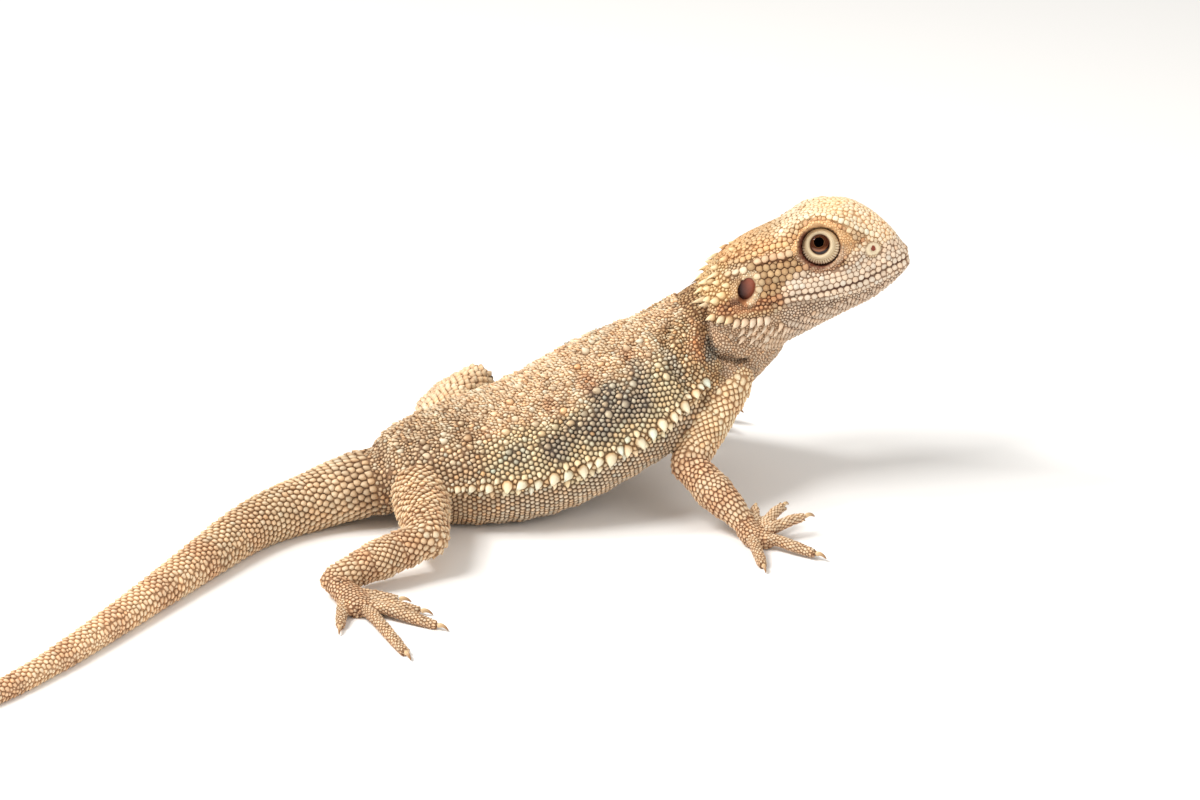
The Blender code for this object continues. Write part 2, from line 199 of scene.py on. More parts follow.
# %% Trunk and neck, tail and head
BODY = [
    (-43.5, -20.3, 8.0, 8.8, 7.6, 8.4),
    (-37.0, -18.4, 9.6, 13.2, 9.6, 10.4),
    (-29.0, -16.1, 10.6, 16.6, 11.0, 11.8),
    (-20.0, -13.4, 11.4, 19.2, 12.0, 12.4),
    (-11.0, -10.6, 13.2, 20.6, 13.0, 12.0),
    (-2.0, -7.8, 16.6, 21.0, 13.8, 11.0),
    (6.0, -5.2, 20.2, 19.8, 14.0, 10.8),
    (13.0, -3.1, 24.0, 16.8, 13.2, 11.2),
    (19.6, -1.2, 28.6, 13.8, 12.0, 11.6),
    (24.2, 0.0, 33.2, 11.8, 10.6, 12.2),
    (27.4, 0.6, 37.6, 10.4, 9.0, 12.6),
]
HEAD_ROWS = [
    (-8.4, 0, -5.2, 10.2, 5.6, 6.4),
    (-4.8, 0, -4.6, 12.9, 8.4, 10.0),
    (0.4, 0, -4.2, 13.4, 10.8, 11.8),
    (5.4, 0, -4.2, 12.5, 12.4, 11.2),
    (10.4, 0, -4.2, 11.3, 13.6, 9.7),
    (14.8, 0, -4.2, 10.3, 14.6, 8.2),
    (19.2, 0, -4.2, 9.3, 15.0, 6.8),
    (22.8, 0, -4.2, 8.2, 15.2, 5.8),
    (26.0, 0, -4.2, 6.9, 13.6, 4.8),
    (28.7, 0, -4.2, 5.7, 11.0, 3.8),
    (31.0, 0, -4.1, 4.5, 7.7, 2.8),
    (32.7, 0, -3.9, 2.8, 4.1, 1.8),
]
TAIL_LENGTH = 163.0
TAIL_START = np.array((-43.5, -20.3, 8.0))
TAIL_TIP_RADIUS, TAIL_TAPER = 0.7, 6.7


def tail_rows(count=90):
    rows, centre = [], TAIL_START.copy()
    for i in range(count + 1):
        share = i / count
        radius = TAIL_TIP_RADIUS + TAIL_TAPER * (0.55 * (1 - share) + 0.45 * (1 - share) ** 4)
        height = radius * (0.90 + 0.06 * share)
        resting = height * 0.94
        centre[2] = resting + (TAIL_START[2] - resting) * (1 - ramp(share, 0, 0.12))
        width = radius * (1 + 0.16 * (1 - ramp(share, 0, 0.1)))
        rows.append([*centre, width, height, height])
        heading = math.radians(197 + 46 * ramp(share, 0, 0.24) - 30 * ramp(share, 0.46, 0.5))
        centre = centre + np.array((math.cos(heading), math.sin(heading), 0)) * TAIL_LENGTH / count
    return rows


def head_rows():
    rows = smooth_rows(HEAD_ROWS, 3)
    return np.hstack([from_head(rows[:, :3]), rows[:, 3:]])


AXES = [
    Axis("body", smooth_rows(BODY, 5), lie=-1),
    Axis("tail", tail_rows()),
    Axis("head", head_rows(), lie=-1, up_hint=HEAD_AXES[:, 2]),
]
print("first axes:", [(axis.name, len(axis.centre)) for axis in AXES])

# %% Legs, feet and digits
ARM_RADII, LEG_RADII = (3.9, 4.0, 3.6, 3.8, 2.3), (5.6, 5.2, 3.9, 3.7, 2.3)
LIMBS = {
    "right_arm": ((27.6, -9.0, 25.4), (17.6, -23.0, 12.4), (28.6, -33.0, 4.2), ARM_RADII),
    "left_arm": ((23.0, 10.0, 25.4), (9.5, 21.6, 12.4), (15.0, 32.0, 4.2), ARM_RADII),
    "right_leg": ((-37.0, -23.0, 9.6), (-33.5, -49.5, 7.6), (-51.5, -60.5, 3.6), LEG_RADII),
    "left_leg": ((-37.5, -12.0, 10.6), (-26.5, 12.5, 16.4), (-38.0, 30.0, 4.0), LEG_RADII),
}
# Digits: spread from the foot's heading, length, set-back of the root, and lift of the tip
HAND_DIGITS = [
    (88, 7.4, 1.6, 3.6), (64, 10.0, 0.8, 3.6), (37, 9.8, 0.2, 3.0),
    (-26, 11.6, 0.2, 0.4), (-74, 10.6, 1.8, 0.0),
]
HIND_DIGITS = [
    (60, 8.0, 4.6, 0.0), (46, 11.4, 2.0, 0.0), (31, 15.6, 0.4, 0.0),
    (-5, 20.0, 0.0, 0.0), (-32, 11.6, 6.0, 0.0),
]
# Along a digit: share of its length, height, share of the lift, radius
DIGIT_SHAPE = [(0, 1.7, 0, 1.25), (0.34, 2.05, 0.3, 1.1), (0.7, 1.35, 0.8, 1.05), (1, 0.8, 1, 0.85)]
# Feet: centre, half width, the way they point in degrees, and their digits
FEET = {
    "right_arm": ((31.7, -35.8, 1.7), 3.0, -6, HAND_DIGITS),
    "left_arm": ((19.2, 34.8, 1.7), 3.0, 12, HAND_DIGITS),
    "right_leg": ((-45.6, -67.6, 1.7), 3.2, -58, HIND_DIGITS),
    "left_leg": ((-30.4, 35.0, 1.7), 3.2, 32, HIND_DIGITS),
}


def plan_direction(degrees):
    return np.array((math.cos(math.radians(degrees)), math.sin(math.radians(degrees)), 0.0))


def limb_rows(root, bend, end, radii):
    root, bend, end = (np.array(p) for p in (root, bend, end))
    places = [root, (root + bend) / 2, bend * 0.88 + (root + end) * 0.06, (bend + end) / 2, end]
    return smooth_rows([[*p, r, r, r] for p, r in zip(places, radii)], 6)


def digit_rows(centre, half_width, facing, inward, spread, length, set_back, lift):
    along = plan_direction(facing + inward * spread)
    root = np.array(centre) - plan_direction(facing) * set_back
    reach = half_width * 0.4 + length
    rows = []
    for share, height, raised, radius in DIGIT_SHAPE:
        point = root + along * reach * share
        rows.append([point[0], point[1], height + raised * lift, radius, radius, radius])
    return smooth_rows(rows, 4)


for limb_name, limb in LIMBS.items():
    centre, half_width, facing, digits = FEET[limb_name]
    inward = 1 if limb_name.startswith("right") else -1
    AXES.append(Axis(limb_name, limb_rows(*limb)))
    middle, forward = np.array(centre), plan_direction(facing)
    palm = [
        [*limb[2], 2.1, 2.0, 2.0],
        [*(middle - forward * 0.4), half_width, 1.8, 2.2],
        [*(middle + forward * 2), half_width * 0.8, 1.5, 2.2],
    ]
    AXES.append(Axis(limb_name + "_palm", smooth_rows(palm, 3)))
    for number, digit in enumerate(digits, 1):
        rows = digit_rows(centre, half_width, facing, inward, *digit)
        AXES.append(Axis(f"{limb_name}_digit_{number}", rows))
AXIS = {axis.name: axis for axis in AXES}
print("axes:", len(AXES), *(f"{name} {AXIS[name].length:.1f} mm" for name in ("body", "tail")))

# %% [markdown]
# ## One skin
# A real lizard has no seams between its parts. Copies of the flesh solids are joined, pushed out by
# a hair so that the thin gaps between them close, and remeshed with voxels into one shell. The eye
# sockets are filled with balls first, because the eyes and lids are separate pieces. Voxels leave
# facets and steps, so the shell is then smoothed: much on the trunk and tail, little on the toes.

# %% Join the flesh and remesh it
FLESH = [name for name in frame["nodes"] if not any(word in name for word in ("claw", "eye", "eardrum"))]
GAP_CLOSING = 0.22
VOXEL = 0.56
SOCKET_FILL = 4.2


def select_only(*objects):
    bpy.ops.object.select_all(action="DESELECT")
    for obj in objects:
        obj.select_set(True)
    bpy.context.view_layer.objects.active = objects[0]


def copy_of(node):
    copy = frame["nodes"][node].copy()
    copy.data = copy.data.copy()
    copy.parent = None
    for key in list(copy.keys()):
        del copy[key]
    bpy.context.scene.collection.objects.link(copy)
    return copy


def joined(name, objects):
    select_only(*objects)
    bpy.ops.object.join()
    obj = bpy.context.view_layer.objects.active
    obj.name = obj.data.name = name
    obj.data.materials.clear()
    return obj


def edit_all(obj, *steps):
    """Runs edit-mode operators on the whole of one mesh."""
    select_only(obj)
    bpy.ops.object.mode_set(mode="EDIT")
    bpy.ops.mesh.select_all(action="SELECT")
    for operator, options in steps:
        operator(**options)
    bpy.ops.object.mode_set(mode="OBJECT")


skin = joined("skin", [copy_of(name) for name in FLESH])
WELD = (bpy.ops.mesh.remove_doubles, {"threshold": 1e-6})
edit_all(skin, WELD, (bpy.ops.transform.shrink_fatten, {"value": GAP_CLOSING * MM}))
balls = []
for side in (-1, 1):
    place = to_model(from_head(on_side(EYE_CENTRE, side)))
    bpy.ops.mesh.primitive_uv_sphere_add(segments=32, ring_count=16, radius=SOCKET_FILL * MM, location=place)
    bpy.ops.object.transform_apply(location=True, rotation=True, scale=True)
    balls.append(bpy.context.object)
skin = joined("skin", [skin, *balls])
remesh = skin.modifiers.new("one_shell", "REMESH")
remesh.mode, remesh.voxel_size = "VOXEL", VOXEL * MM
bpy.ops.object.modifier_apply(modifier=remesh.name)
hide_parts(*FLESH)
print("skin:", len(skin.data.vertices), "points,", len(skin.data.polygons), "faces")

# %% [markdown]
# ## Where on the body a point is
# The nearest axis, measured in widths of the part and not in millimetres, owns a point. That gives
# the part's name, the distance along it, and how far across and how high the point sits on it.
# Smoothing, folds, scales and colours all ask this one function.

# %% Locate points on the axes
PART_NAMES = [axis.name for axis in AXES]


def samples_of(number, axis):
    """What is kept for each sample of an axis."""
    count = len(axis.centre)
    fields = (axis.along, axis.centre, axis.side, axis.up, axis.tangent, axis.sizes)
    return np.full(count, number), *fields, np.full(count, axis.lie)


samples = zip(*(samples_of(number, axis) for number, axis in enumerate(AXES)))
S_PART, S_ALONG, S_CENTRE, S_SIDE, S_UP, S_TANGENT, S_SIZES, S_LIE = map(np.concatenate, samples)
DIGIT_BIAS = np.array([0.9 if "digit" in name else 1.0 for name in PART_NAMES])[S_PART]


class Places:
    """What the nearest axis says about each point."""

    def __init__(self, points, chunk=3000):
        points = np.asarray(points, np.float32)
        found = np.concatenate([self.nearest(points[i:i + chunk]) for i in range(0, len(points), chunk)])
        offset = points - S_CENTRE[found]
        self.part = S_PART[found]
        self.along = S_ALONG[found] + (offset * S_TANGENT[found]).sum(1)
        across, rise = (offset * S_SIDE[found]).sum(1), (offset * S_UP[found]).sum(1)
        self.across = across / S_SIZES[found, 0]
        self.rise = rise / np.where(rise > 0, S_SIZES[found, 1], S_SIZES[found, 2])
        self.angle = np.degrees(np.arctan2(self.rise, np.abs(self.across)))
        self.lie = S_TANGENT[found] * S_LIE[found][:, None]
        self.width = S_SIZES[found, 0]

    @staticmethod
    def nearest(points):
        offset = points[:, None, :] - S_CENTRE[None].astype(np.float32)
        across = np.einsum("nmi,mi->nm", offset, S_SIDE.astype(np.float32)) / S_SIZES[:, 0]
        rise = np.einsum("nmi,mi->nm", offset, S_UP.astype(np.float32))
        rise = rise / np.where(rise > 0, S_SIZES[:, 1], S_SIZES[:, 2])
        ahead = np.einsum("nmi,mi->nm", offset, S_TANGENT.astype(np.float32)) / S_SIZES.mean(1)
        return np.argmin((across**2 + rise**2 + ahead**2) * DIGIT_BIAS, axis=1)

    def on(self, *words):
        """Which points lie on a part whose name holds one of the words."""
        wanted = [any(word in name for word in words) for name in PART_NAMES]
        return np.array(wanted)[self.part]


def read_points(obj):
    flat = np.empty(len(obj.data.vertices) * 3)
    obj.data.vertices.foreach_get("co", flat)
    return from_model(flat.reshape(-1, 3))


def write_points(obj, points):
    obj.data.vertices.foreach_set("co", to_model(points).ravel())
    obj.data.update()


def read_normals(obj):
    flat = np.empty(len(obj.data.vertices) * 3)
    obj.data.vertices.foreach_get("normal", flat)
    return flat.reshape(-1, 3)


points = read_points(skin)
where = Places(points)
parts = [name for name in PART_NAMES if "digit" not in name]
print("points by part:", {name: int((where.part == PART_NAMES.index(name)).sum()) for name in parts})

# %% Smooth the shell
edges = np.empty(len(skin.data.edges) * 2, int)
skin.data.edges.foreach_get("vertices", edges)
edges = edges.reshape(-1, 2)
neighbours = np.bincount(edges.ravel(), minlength=len(points))[:, None]


def mean_of_neighbours(values):
    total = np.empty_like(values)
    for i in range(values.shape[1]):
        column = values[:, i]
        total[:, i] = np.bincount(edges[:, 0], column[edges[:, 1]], len(values))
        total[:, i] += np.bincount(edges[:, 1], column[edges[:, 0]], len(values))
    return total / neighbours


def relax(points, strength, rounds):
    """Smooths without shrinking: each round pulls points to their neighbours and then pushes back."""
    for _ in range(rounds):
        for pull in (0.55, -0.57):
            points = points + (mean_of_neighbours(points) - points) * strength * pull
    return points


digits, head = where.on("digit"), where.on("head")
everywhere = np.ones((len(points), 1))
points = relax(points, everywhere, 3)
points = relax(points, np.where(digits, 0.15, 1.0)[:, None], 5)
broad = np.where(digits | where.on("palm"), 0.0, np.where(head, 0.25, 1.0))[:, None]
points = relax(points, mean_of_neighbours(mean_of_neighbours(broad)), 26)
write_points(skin, points)
print("the smoothed shell measures", np.ptp(points, axis=0).round(1), "mm")

# %% [markdown]
# ## Folds, ridges and hollows
# The features of the face and the creases of loose skin are strokes: a line through a few places, a
# width and a height, added along the skin's normals like a sculptor's clay or cut into it. The
# strokes of the head are given once and mirrored to its other side.

# %% Strokes
def distance_to_line(points, line):
    best = np.full(len(points), 1e9)
    for start, end in zip(line, line[1:]):
        span = end - start
        share = np.clip((points - start) @ span / max(span @ span, 1e-9), 0, 1)
        best = np.minimum(best, np.linalg.norm(points - start - share[:, None] * span, axis=1))
    return best


def stroke(points, normals, line, width, height):
    return points + normals * (height * bell(distance_to_line(points, line), 0, width))[:, None]


to_axis = distance_to_line(points, AXIS["tail"].centre)[where.on("tail")]
print(f"the tail's skin is {to_axis.min():.2f} to {to_axis.max():.2f} mm from its axis")

# %% The strokes of the head and shoulder
MOUTH = [
    (33.3, 1.6, -2.2), (30.6, 4.5, -2.3), (27.9, 6.0, -2.8), (23.1, 8.0, -3.5), (18.1, 9.5, -3.6),
    (14.6, 10.3, -3.6), (11.1, 11.0, -3.3), (7.7, 11.7, -3.1), (5.4, 12.3, -3.5),
]
# Strokes: the places of the line, its width and its height
HEAD_STROKES = [
    # the brow's edge runs on as a blunt ridge to the nostril
    ([(9.6, 8.2, 8.2), (12.2, 7.9, 9.4), (16.2, 7.9, 10.0), (19.0, 7.7, 9.9), (22.3, 6.6, 8.6)], 0.95, 0.7),
    ([(22.3, 6.4, 8.8), (24.4, 5.7, 6.9), (26.9, 4.8, 5.2), (28.5, 3.8, 4.4)], 1.0, 0.35),
    # the lips, and the line between them
    ([(x, y, z + 1.3) for x, y, z in MOUTH], 0.9, 0.22),
    ([(x, y, z - 1.2) for x, y, z in MOUTH], 0.8, 0.25),
    (MOUTH, 0.34, -0.62),
    # folds that run back from the corner of the mouth, under the ear
    ([(5.4, 12.3, -3.5), (2.5, 12.8, -3.4), (-1.0, 13.0, -3.4), (-4.5, 12.4, -3.6)], 0.42, -0.45),
    ([(8.2, 11.8, -2.2), (5.0, 12.3, -2.2), (2.0, 12.7, -2.6)], 0.38, -0.3),
    ([(15.2, 10.2, -5.2), (12.5, 11.0, -5.1), (10.4, 11.3, -4.9), (8.0, 11.8, -4.6),
      (5.8, 12.2, -4.5)], 0.5, -0.6),
    ([(10.4, 11.2, -3.3), (7.7, 11.7, -3.3), (5.2, 12.3, -3.8)], 0.42, -0.45),
    ([(-1.0, 12.8, -2.5), (-2.4, 12.9, -2.3), (-4.4, 12.4, -2.9)], 0.6, -0.6),
    # the ridge under the eye, and the temple's ridge
    ([(11.6, 10.2, 0.2), (14.4, 10.3, -0.9), (18.2, 9.8, -0.9), (21.6, 8.7, 0.2),
      (23.6, 7.6, 1.6)], 0.85, 0.4),
    ([(9.4, 9.0, 5.2), (7.9, 8.9, 5.0), (3.5, 8.6, 4.6), (-0.7, 8.9, 3.3), (-4.0, 7.4, 2.5)], 0.9, 0.45),
    # the row of jowl spines stands on a ridge, and the pouch below it ends in a crease at the neck
    ([(-7.8, 10.6, -4.3), (-5.6, 12.4, -4.8), (-2.6, 13.0, -5.8), (0.9, 13.0, -6.2),
      (3.4, 12.8, -6.6)], 1.1, 0.4),
    ([(-6.6, 11.0, -6.8), (-6.4, 11.4, -9.4), (-3.8, 11.0, -12.0), (0.6, 9.4, -13.4)], 2.2, 1.1),
    ([(-9.2, 7.0, -2.0), (-8.9, 9.6, -4.6), (-8.6, 11.0, -7.4), (-8.3, 11.6, -10.4),
      (-6.2, 11.0, -13.2), (-2.0, 9.0, -15.2)], 0.75, -2.0),
    ([(-11.0, 8.0, -4.0), (-11.2, 9.6, -7.6), (-10.4, 10.4, -11.6), (-8.0, 10.0, -14.6)], 1.1, 0.7),
    # loose skin hanging across the throat behind the jaw
    ([(-1.0, 8.6, -14.6), (3.4, 5.0, -16.0), (4.4, 0.0, -16.6)], 1.2, 0.45),
]
SHOULDER_STROKES = [
    ([(14.0, -8.4, 38.2), (13.4, -13.6, 33.7), (15.0, -16.6, 29.6), (17.6, -18.0, 26.0)], 0.9, -0.75),
    ([(16.6, -8.8, 39.2), (16.2, -13.4, 34.6), (17.8, -16.2, 30.4)], 1.2, 0.4),
    ([(21.4, -10.4, 37.2), (20.6, -13.0, 33.0), (21.6, -13.6, 29.4)], 0.8, -0.5),
    ([(24.8, -8.0, 32.0), (23.2, -12.4, 28.6), (20.4, -16.0, 24.0)], 0.7, -0.5),
    ([(30.0, -6.0, 27.4), (27.8, -10.6, 30.2), (25.6, -12.2, 32.6)], 0.7, -0.45),
]
print("strokes:", len(HEAD_STROKES), "on each side of the head,", len(SHOULDER_STROKES), "at each shoulder")

# %% How far a point is from the ear, eye, nostril and mouth
EAR_CENTRE, EAR_TILT, EAR_SIZE = (0.4, 11.7, -0.2), 33.0, (1.6, 2.4)
# The ball sits a little low in its socket; the lids face out, and the animal looks up past them
EYE_SET = (16.7, 4.7, 4.17)
EYE_LOOK = unit(np.array((-0.10, 0.93, 0.286)))
EYE_SIGHT = unit(np.array((-0.13, 0.93, 0.584)))
NOSTRIL = (26.8, 5.8, 2.0)


def ear_reach(points, side):
    """How far out of one side's tilted ear oval a head-frame point is: 1 on its rim."""
    tilt = math.radians(EAR_TILT)
    centre = on_side(EAR_CENTRE, side)
    x, z = points[:, 0] - centre[0], points[:, 2] - centre[2]
    long_way = x * math.sin(tilt) + z * math.cos(tilt)
    short_way = x * math.cos(tilt) - z * math.sin(tilt)
    same_side = points[:, 1] * centre[1] > 0
    return np.where(same_side, np.hypot(short_way / EAR_SIZE[0], long_way / EAR_SIZE[1]), 9.0)


def nostril_reach(points, side):
    """How far points are from one nostril, measured on its oval shield."""
    return np.linalg.norm((points - on_side(NOSTRIL, side)) * (0.85, 0.5, 1.0), axis=1)


def mouth_reach(points, side):
    return distance_to_line(points, smooth_rows(on_side(MOUTH, side), 3))


def nearer(reach, points):
    """The smaller of a measure's values for the right and the left side."""
    return np.minimum(reach(points, -1), reach(points, 1))


def eye_axis(side, direction=EYE_LOOK):
    return direction * (1, side, 1)


def from_eye_line(points):
    """How far each head-frame point is from the line straight out of the eye on its side."""
    best = np.full(len(points), 99.0)
    for side in (-1, 1):
        gap = np.linalg.norm(np.cross(points - on_side(EYE_SET, side), eye_axis(side)), axis=1)
        best = np.minimum(best, gap + 20 * (points[:, 1] * side < 0))
    return best


def in_orbit(points):
    """Below 1 inside the almond of soft skin that surrounds the lids, 1 on its edge."""
    best = np.full(len(points), 9.0)
    for side in (-1, 1):
        offset, axis = points - on_side(EYE_SET, side), eye_axis(side)
        upward = unit(np.array((0, 0, 1)) - axis * axis[2])
        ahead, rise = offset @ np.cross(upward, axis) * -side, offset @ upward
        wide, tall = np.where(ahead > 0, 7.4, 5.9), np.where(rise > 0, 5.7, 5.0)
        tall = tall * np.maximum(1 - (ahead / wide) ** 2, 0.02)
        best = np.where((offset @ axis > 0) & (points[:, 1] * side > 0), np.abs(rise) / tall, best)
    return best


def in_pouch(points):
    """1 on the soft pouch under the jowl, 0 elsewhere."""
    x, z = points[:, 0], points[:, 2]
    return band(x, -8.6, 6.0, 0.8) * band(z, -20.0, -6.4, 0.8)


print("points in the orbits:", int((in_orbit(to_head(points)) < 1).sum()))

# %% Carve the head
normals = read_normals(skin)
face, face_normals = to_head(points), normals @ HEAD_AXES
cheeks = where.on("head", "body")
CHIN_LIFT, CROWN_RISE = 0.9, 1.0
FOLD_RISE, FOLD_CREASE = 0.42, 0.34
SOCKET_RADIUS, SOCKET_FLOOR = 3.75, 1.2
EAR_RIM, EAR_DEPTH = 0.38, 2.3
SHIELD_RISE, NOSTRIL_DEPTH = 0.34, 0.25


def laid(line, side):
    """A stroke's line on one side of the head, moved out to the surface there."""
    line = smooth_rows(on_side(line, side), 4)
    if np.abs(line[:, 1]).min() < 2:
        return line
    here = face[cheeks & (face[:, 1] * side > 2)]
    for spot in line:
        beside = np.hypot(here[:, 0] - spot[0], here[:, 2] - spot[2]) < 0.6
        if beside.any():
            spot[1] = side * np.abs(here[beside, 1]).max()
    return line


# the chin and the tip of the snout lift a little
face[:, 2] += CHIN_LIFT * ramp(face[:, 0], 24, 8) * ramp(face[:, 2], 0.5, -3) * where.on("head")
creases = []
for line, width, height in HEAD_STROKES:
    for side in (-1, 1):
        placed = laid(line, side)
        face = stroke(face, face_normals, placed, width, height)
        # the cut creases are kept, so that painted shade can be laid along them
        if height < -0.3 and width > 0.4:
            creases.append((from_head(placed + (0, side * height, 0)), width))
# the crown rises over the eyes
crown = CROWN_RISE * bell(face[:, 0], 16.0, 5.5) * ramp(face[:, 2], 7.5, 3.0)
face[:, 2] += crown * where.on("head")
for side in (-1, 1):
    # the orbit: a round hollow that the eyeball and its lids sit in, with folds of skin round it
    offset = face - on_side(EYE_SET, side)
    axis = eye_axis(side)
    out = offset @ axis
    beside = np.linalg.norm(offset - out[:, None] * axis, axis=1)
    edge = in_orbit(face)
    folds = FOLD_RISE * bell(edge, 0.86, 0.1) - FOLD_CREASE * bell(edge, 1.04, 0.06)
    face = face + axis * (folds * (out > 0) * ramp(beside, 3.9, 0.5))[:, None]
    sink = (1 - ramp(beside, SOCKET_RADIUS, 0.75)) * (out > 0)
    face = face - axis * (np.maximum(out - SOCKET_FLOOR, 0) * sink)[:, None]
    # the ear opening, with a low rim round it
    reach = ear_reach(face, side)
    shape = EAR_RIM * bell(reach, 1.22, 0.2) - EAR_DEPTH * (1 - ramp(reach, 0.74, 0.34))
    face[:, 1] += side * shape
    # the nostril, a slit in a smooth oval shield
    beside = nostril_reach(face, side)
    shape = SHIELD_RISE * bell(beside, 0.95, 0.42) - NOSTRIL_DEPTH * (1 - ramp(beside, 0.2, 0.5))
    face = face + face_normals * shape[:, None]
points = np.where(where.on("head", "body")[:, None], from_head(face), points)
print("creases kept for the markings:", len(creases))

# %% Folds of the neck, shoulder and side
TRUNK_AXIS = AXIS["body"]
SHOULDER_DEPTH = 1.3


def tree_of(places):
    """A tree that finds the nearest of many places fast."""
    tree = KDTree(len(places))
    for i, place in enumerate(places):
        tree.insert(place, i)
    tree.balance()
    return tree


def mirrored(line):
    """A line on the animal's right side, moved to the same place on its left side."""
    line = np.array(line, float)
    moved = []
    for point, along in zip(line, Places(line).along):
        centre, _, _, side, _ = TRUNK_AXIS.at(along)
        moved.append(point - 2 * side * ((point - centre) @ side))
    return np.array(moved)


spots = tree_of(points)
for line, width, height in SHOULDER_STROKES:
    for placed in (np.array(line), mirrored(line)):
        placed = np.array([points[spots.find(spot)[1]] for spot in smooth_rows(placed, 4)])
        points = stroke(points, normals, placed, width, height * SHOULDER_DEPTH)
        if height < 0:
            creases.append((placed, width))
ridge = where.on("body") & (where.along > 6) & (where.along < 66)
side_ridge = 0.5 * bell(where.angle, 2, 7) - 0.25 * bell(where.angle, -9, 5)
points = points + normals * (side_ridge * ridge)[:, None]
# slow lumps break up the smoothness of loose skin
lumps = np.sin(points @ (0.9, 0.5, 0.3)) * np.sin(points @ (-0.4, 0.8, 0.6))
lumps += 0.6 * np.sin(points @ (1.7, -1.1, 0.9))
loose = np.where(where.on("body"), np.where(where.angle > 35, 0.26, 0.16), 0.1)
loose = loose * ~where.on("palm", "digit", "head", "tail")
points = points + normals * (lumps * mean_of_neighbours(loose[:, None])[:, 0])[:, None]
points = relax(points, everywhere * 0.5, 1)
print("folds laid:", len(creases), "creases in all")

# %% Sink the skin by the depth of its coat
LOWEST_SKIN = 0.04
COAT_DEPTH = {"digit": 0.12, "palm": 0.18, "arm": 0.28, "leg": 0.3, "tail": 0.3, "head": 0.24, "body": 0.34}
depth = np.zeros(len(points))
for word, value in COAT_DEPTH.items():
    depth = np.where((depth == 0) & where.on(word), value, depth)
depth = mean_of_neighbours(mean_of_neighbours(depth[:, None]))
points = points - normals * depth
points[:, 2] = np.maximum(points[:, 2], LOWEST_SKIN)
write_points(skin, points)
skin.data.shade_smooth()
edit_all(skin, (bpy.ops.uv.smart_project, {"angle_limit": 1.15, "island_margin": 0.002}))
skin.data.uv_layers[0].name = "OFBake"
points, normals = read_points(skin), read_normals(skin)
print(f"skin lies {depth.mean():.2f} mm inside the solids on average, lowest at {points[:, 2].min():.3f}")

# %% [markdown]
# ## Where the scales grow
# A scale starts as a seed: a spot on the skin, the way it lies, its radius, height and shape. Rows of
# seeds run round the tail, legs, toes and sides like real scale rows. Each is found by a ray from the
# axis out to the skin. The face's plates and spines are placed one by one, and what is still bare
# is filled with small granules, thrown at random and kept where there is room.

# %% The skin as something to aim at
polygons = [tuple(face.vertices) for face in skin.data.polygons]
surface = BVHTree.FromPolygons(points.tolist(), polygons)


def hit(origin, direction, reach=40.0):
    """The skin's point and normal where a ray from inside the animal comes out."""
    place, normal, _, _ = surface.ray_cast(Vector(origin), Vector(direction), reach)
    return (None, None) if place is None else (np.array(place), np.array(normal))


def hit_head(x, z, side):
    """The skin beside a place in the head's middle plane."""
    return hit(from_head((x, 0.0, z)), HEAD_AXES @ np.array((0, side, 0)), 20)


print("skin to aim at:", len(polygons), "faces")


# %% Seeds of the coat
class Coat:
    """The seeds of all the scales."""

    FIELDS = ("place", "normal", "lie", "radius", "height", "tip", "shape", "tone")

    def __init__(self):
        self.data = {field: [] for field in self.FIELDS}
        self.batch = []

    def column(self, field):
        return np.concatenate(self.data[field])

    def count(self):
        return sum(len(part) for part in self.data["radius"])

    def add(self, name, seeds, crowding=0.78):
        """Keeps the new seeds that don't crowd one another or the seeds already there."""
        seeds = [one for one in seeds if one[0] is not None]
        if not seeds:
            return
        new = {field: np.array([seed[i] for seed in seeds]) for i, field in enumerate(self.FIELDS)}
        keep = self.uncrowded(new, crowding)
        for field in self.FIELDS:
            self.data[field].append(new[field][keep])
        self.batch.append((name, int(keep.sum())))

    def uncrowded(self, new, crowding):
        place, radius = new["place"], new["radius"]
        keep = np.ones(len(place), bool)
        if self.count():
            tree, old_radius = tree_of(self.column("place")), self.column("radius")
            largest = old_radius.max()
            for i, spot in enumerate(place):
                found = tree.find_range(spot, crowding * (radius[i] + largest))
                keep[i] = all(gap >= crowding * (radius[i] + old_radius[j]) for _, j, gap in found)
        tree = tree_of(place)
        largest = radius.max()
        for i, spot in enumerate(place):
            if keep[i]:
                for _, j, gap in tree.find_range(spot, crowding * (radius[i] + largest)):
                    if j > i and gap < crowding * (radius[i] + radius[j]):
                        keep[j] = False
        return keep


PLATE, BUMP, KEEL, CONE, GRANULE = range(5)
coat = Coat()


def seed(place, normal, lie, radius, height, shape, tip=0.0, tone=0.0):
    return place, normal, lie, radius, height, tip, shape, tone


print("a seed holds", ", ".join(Coat.FIELDS))

# %% [markdown]
# ## The face, plate by plate
# The head's scales tell one lizard from another, so they are laid out one by one: three rows of lip
# plates, the cream plates of the temple that end in a spine, the cone clusters behind the head, the
# white jowl spines and the beard's darker ones. Each row is a few places joined by a smooth line.

# %% Rows along a line of the face
BACK = HEAD_AXES @ np.array((-1.0, 0.0, 0.0))
DOWN = HEAD_AXES @ np.array((0.0, 0.0, -1.0))


def along_line(line, spacing):
    """Places a spacing apart along a smooth line."""
    line = smooth_rows(line, 6)
    steps = lengths_along(line)
    count = max(2, round(steps[-1] / spacing) + 1)
    wanted = np.linspace(0, steps[-1], count)
    return np.stack([np.interp(wanted, steps, line[:, i]) for i in range(line.shape[1])], axis=1)


def face_row(line, spacing, radius, height, raised, tone):
    """Plates in a row along a line of the face, on both its sides."""
    seeds = []
    for x, _, z in along_line(line, spacing):
        for side in (-1, 1):
            place, normal = hit_head(x, z + raised, side)
            if place is not None:
                seeds.append(seed(place, normal, BACK, radius, height, PLATE, tone=tone))
    return seeds


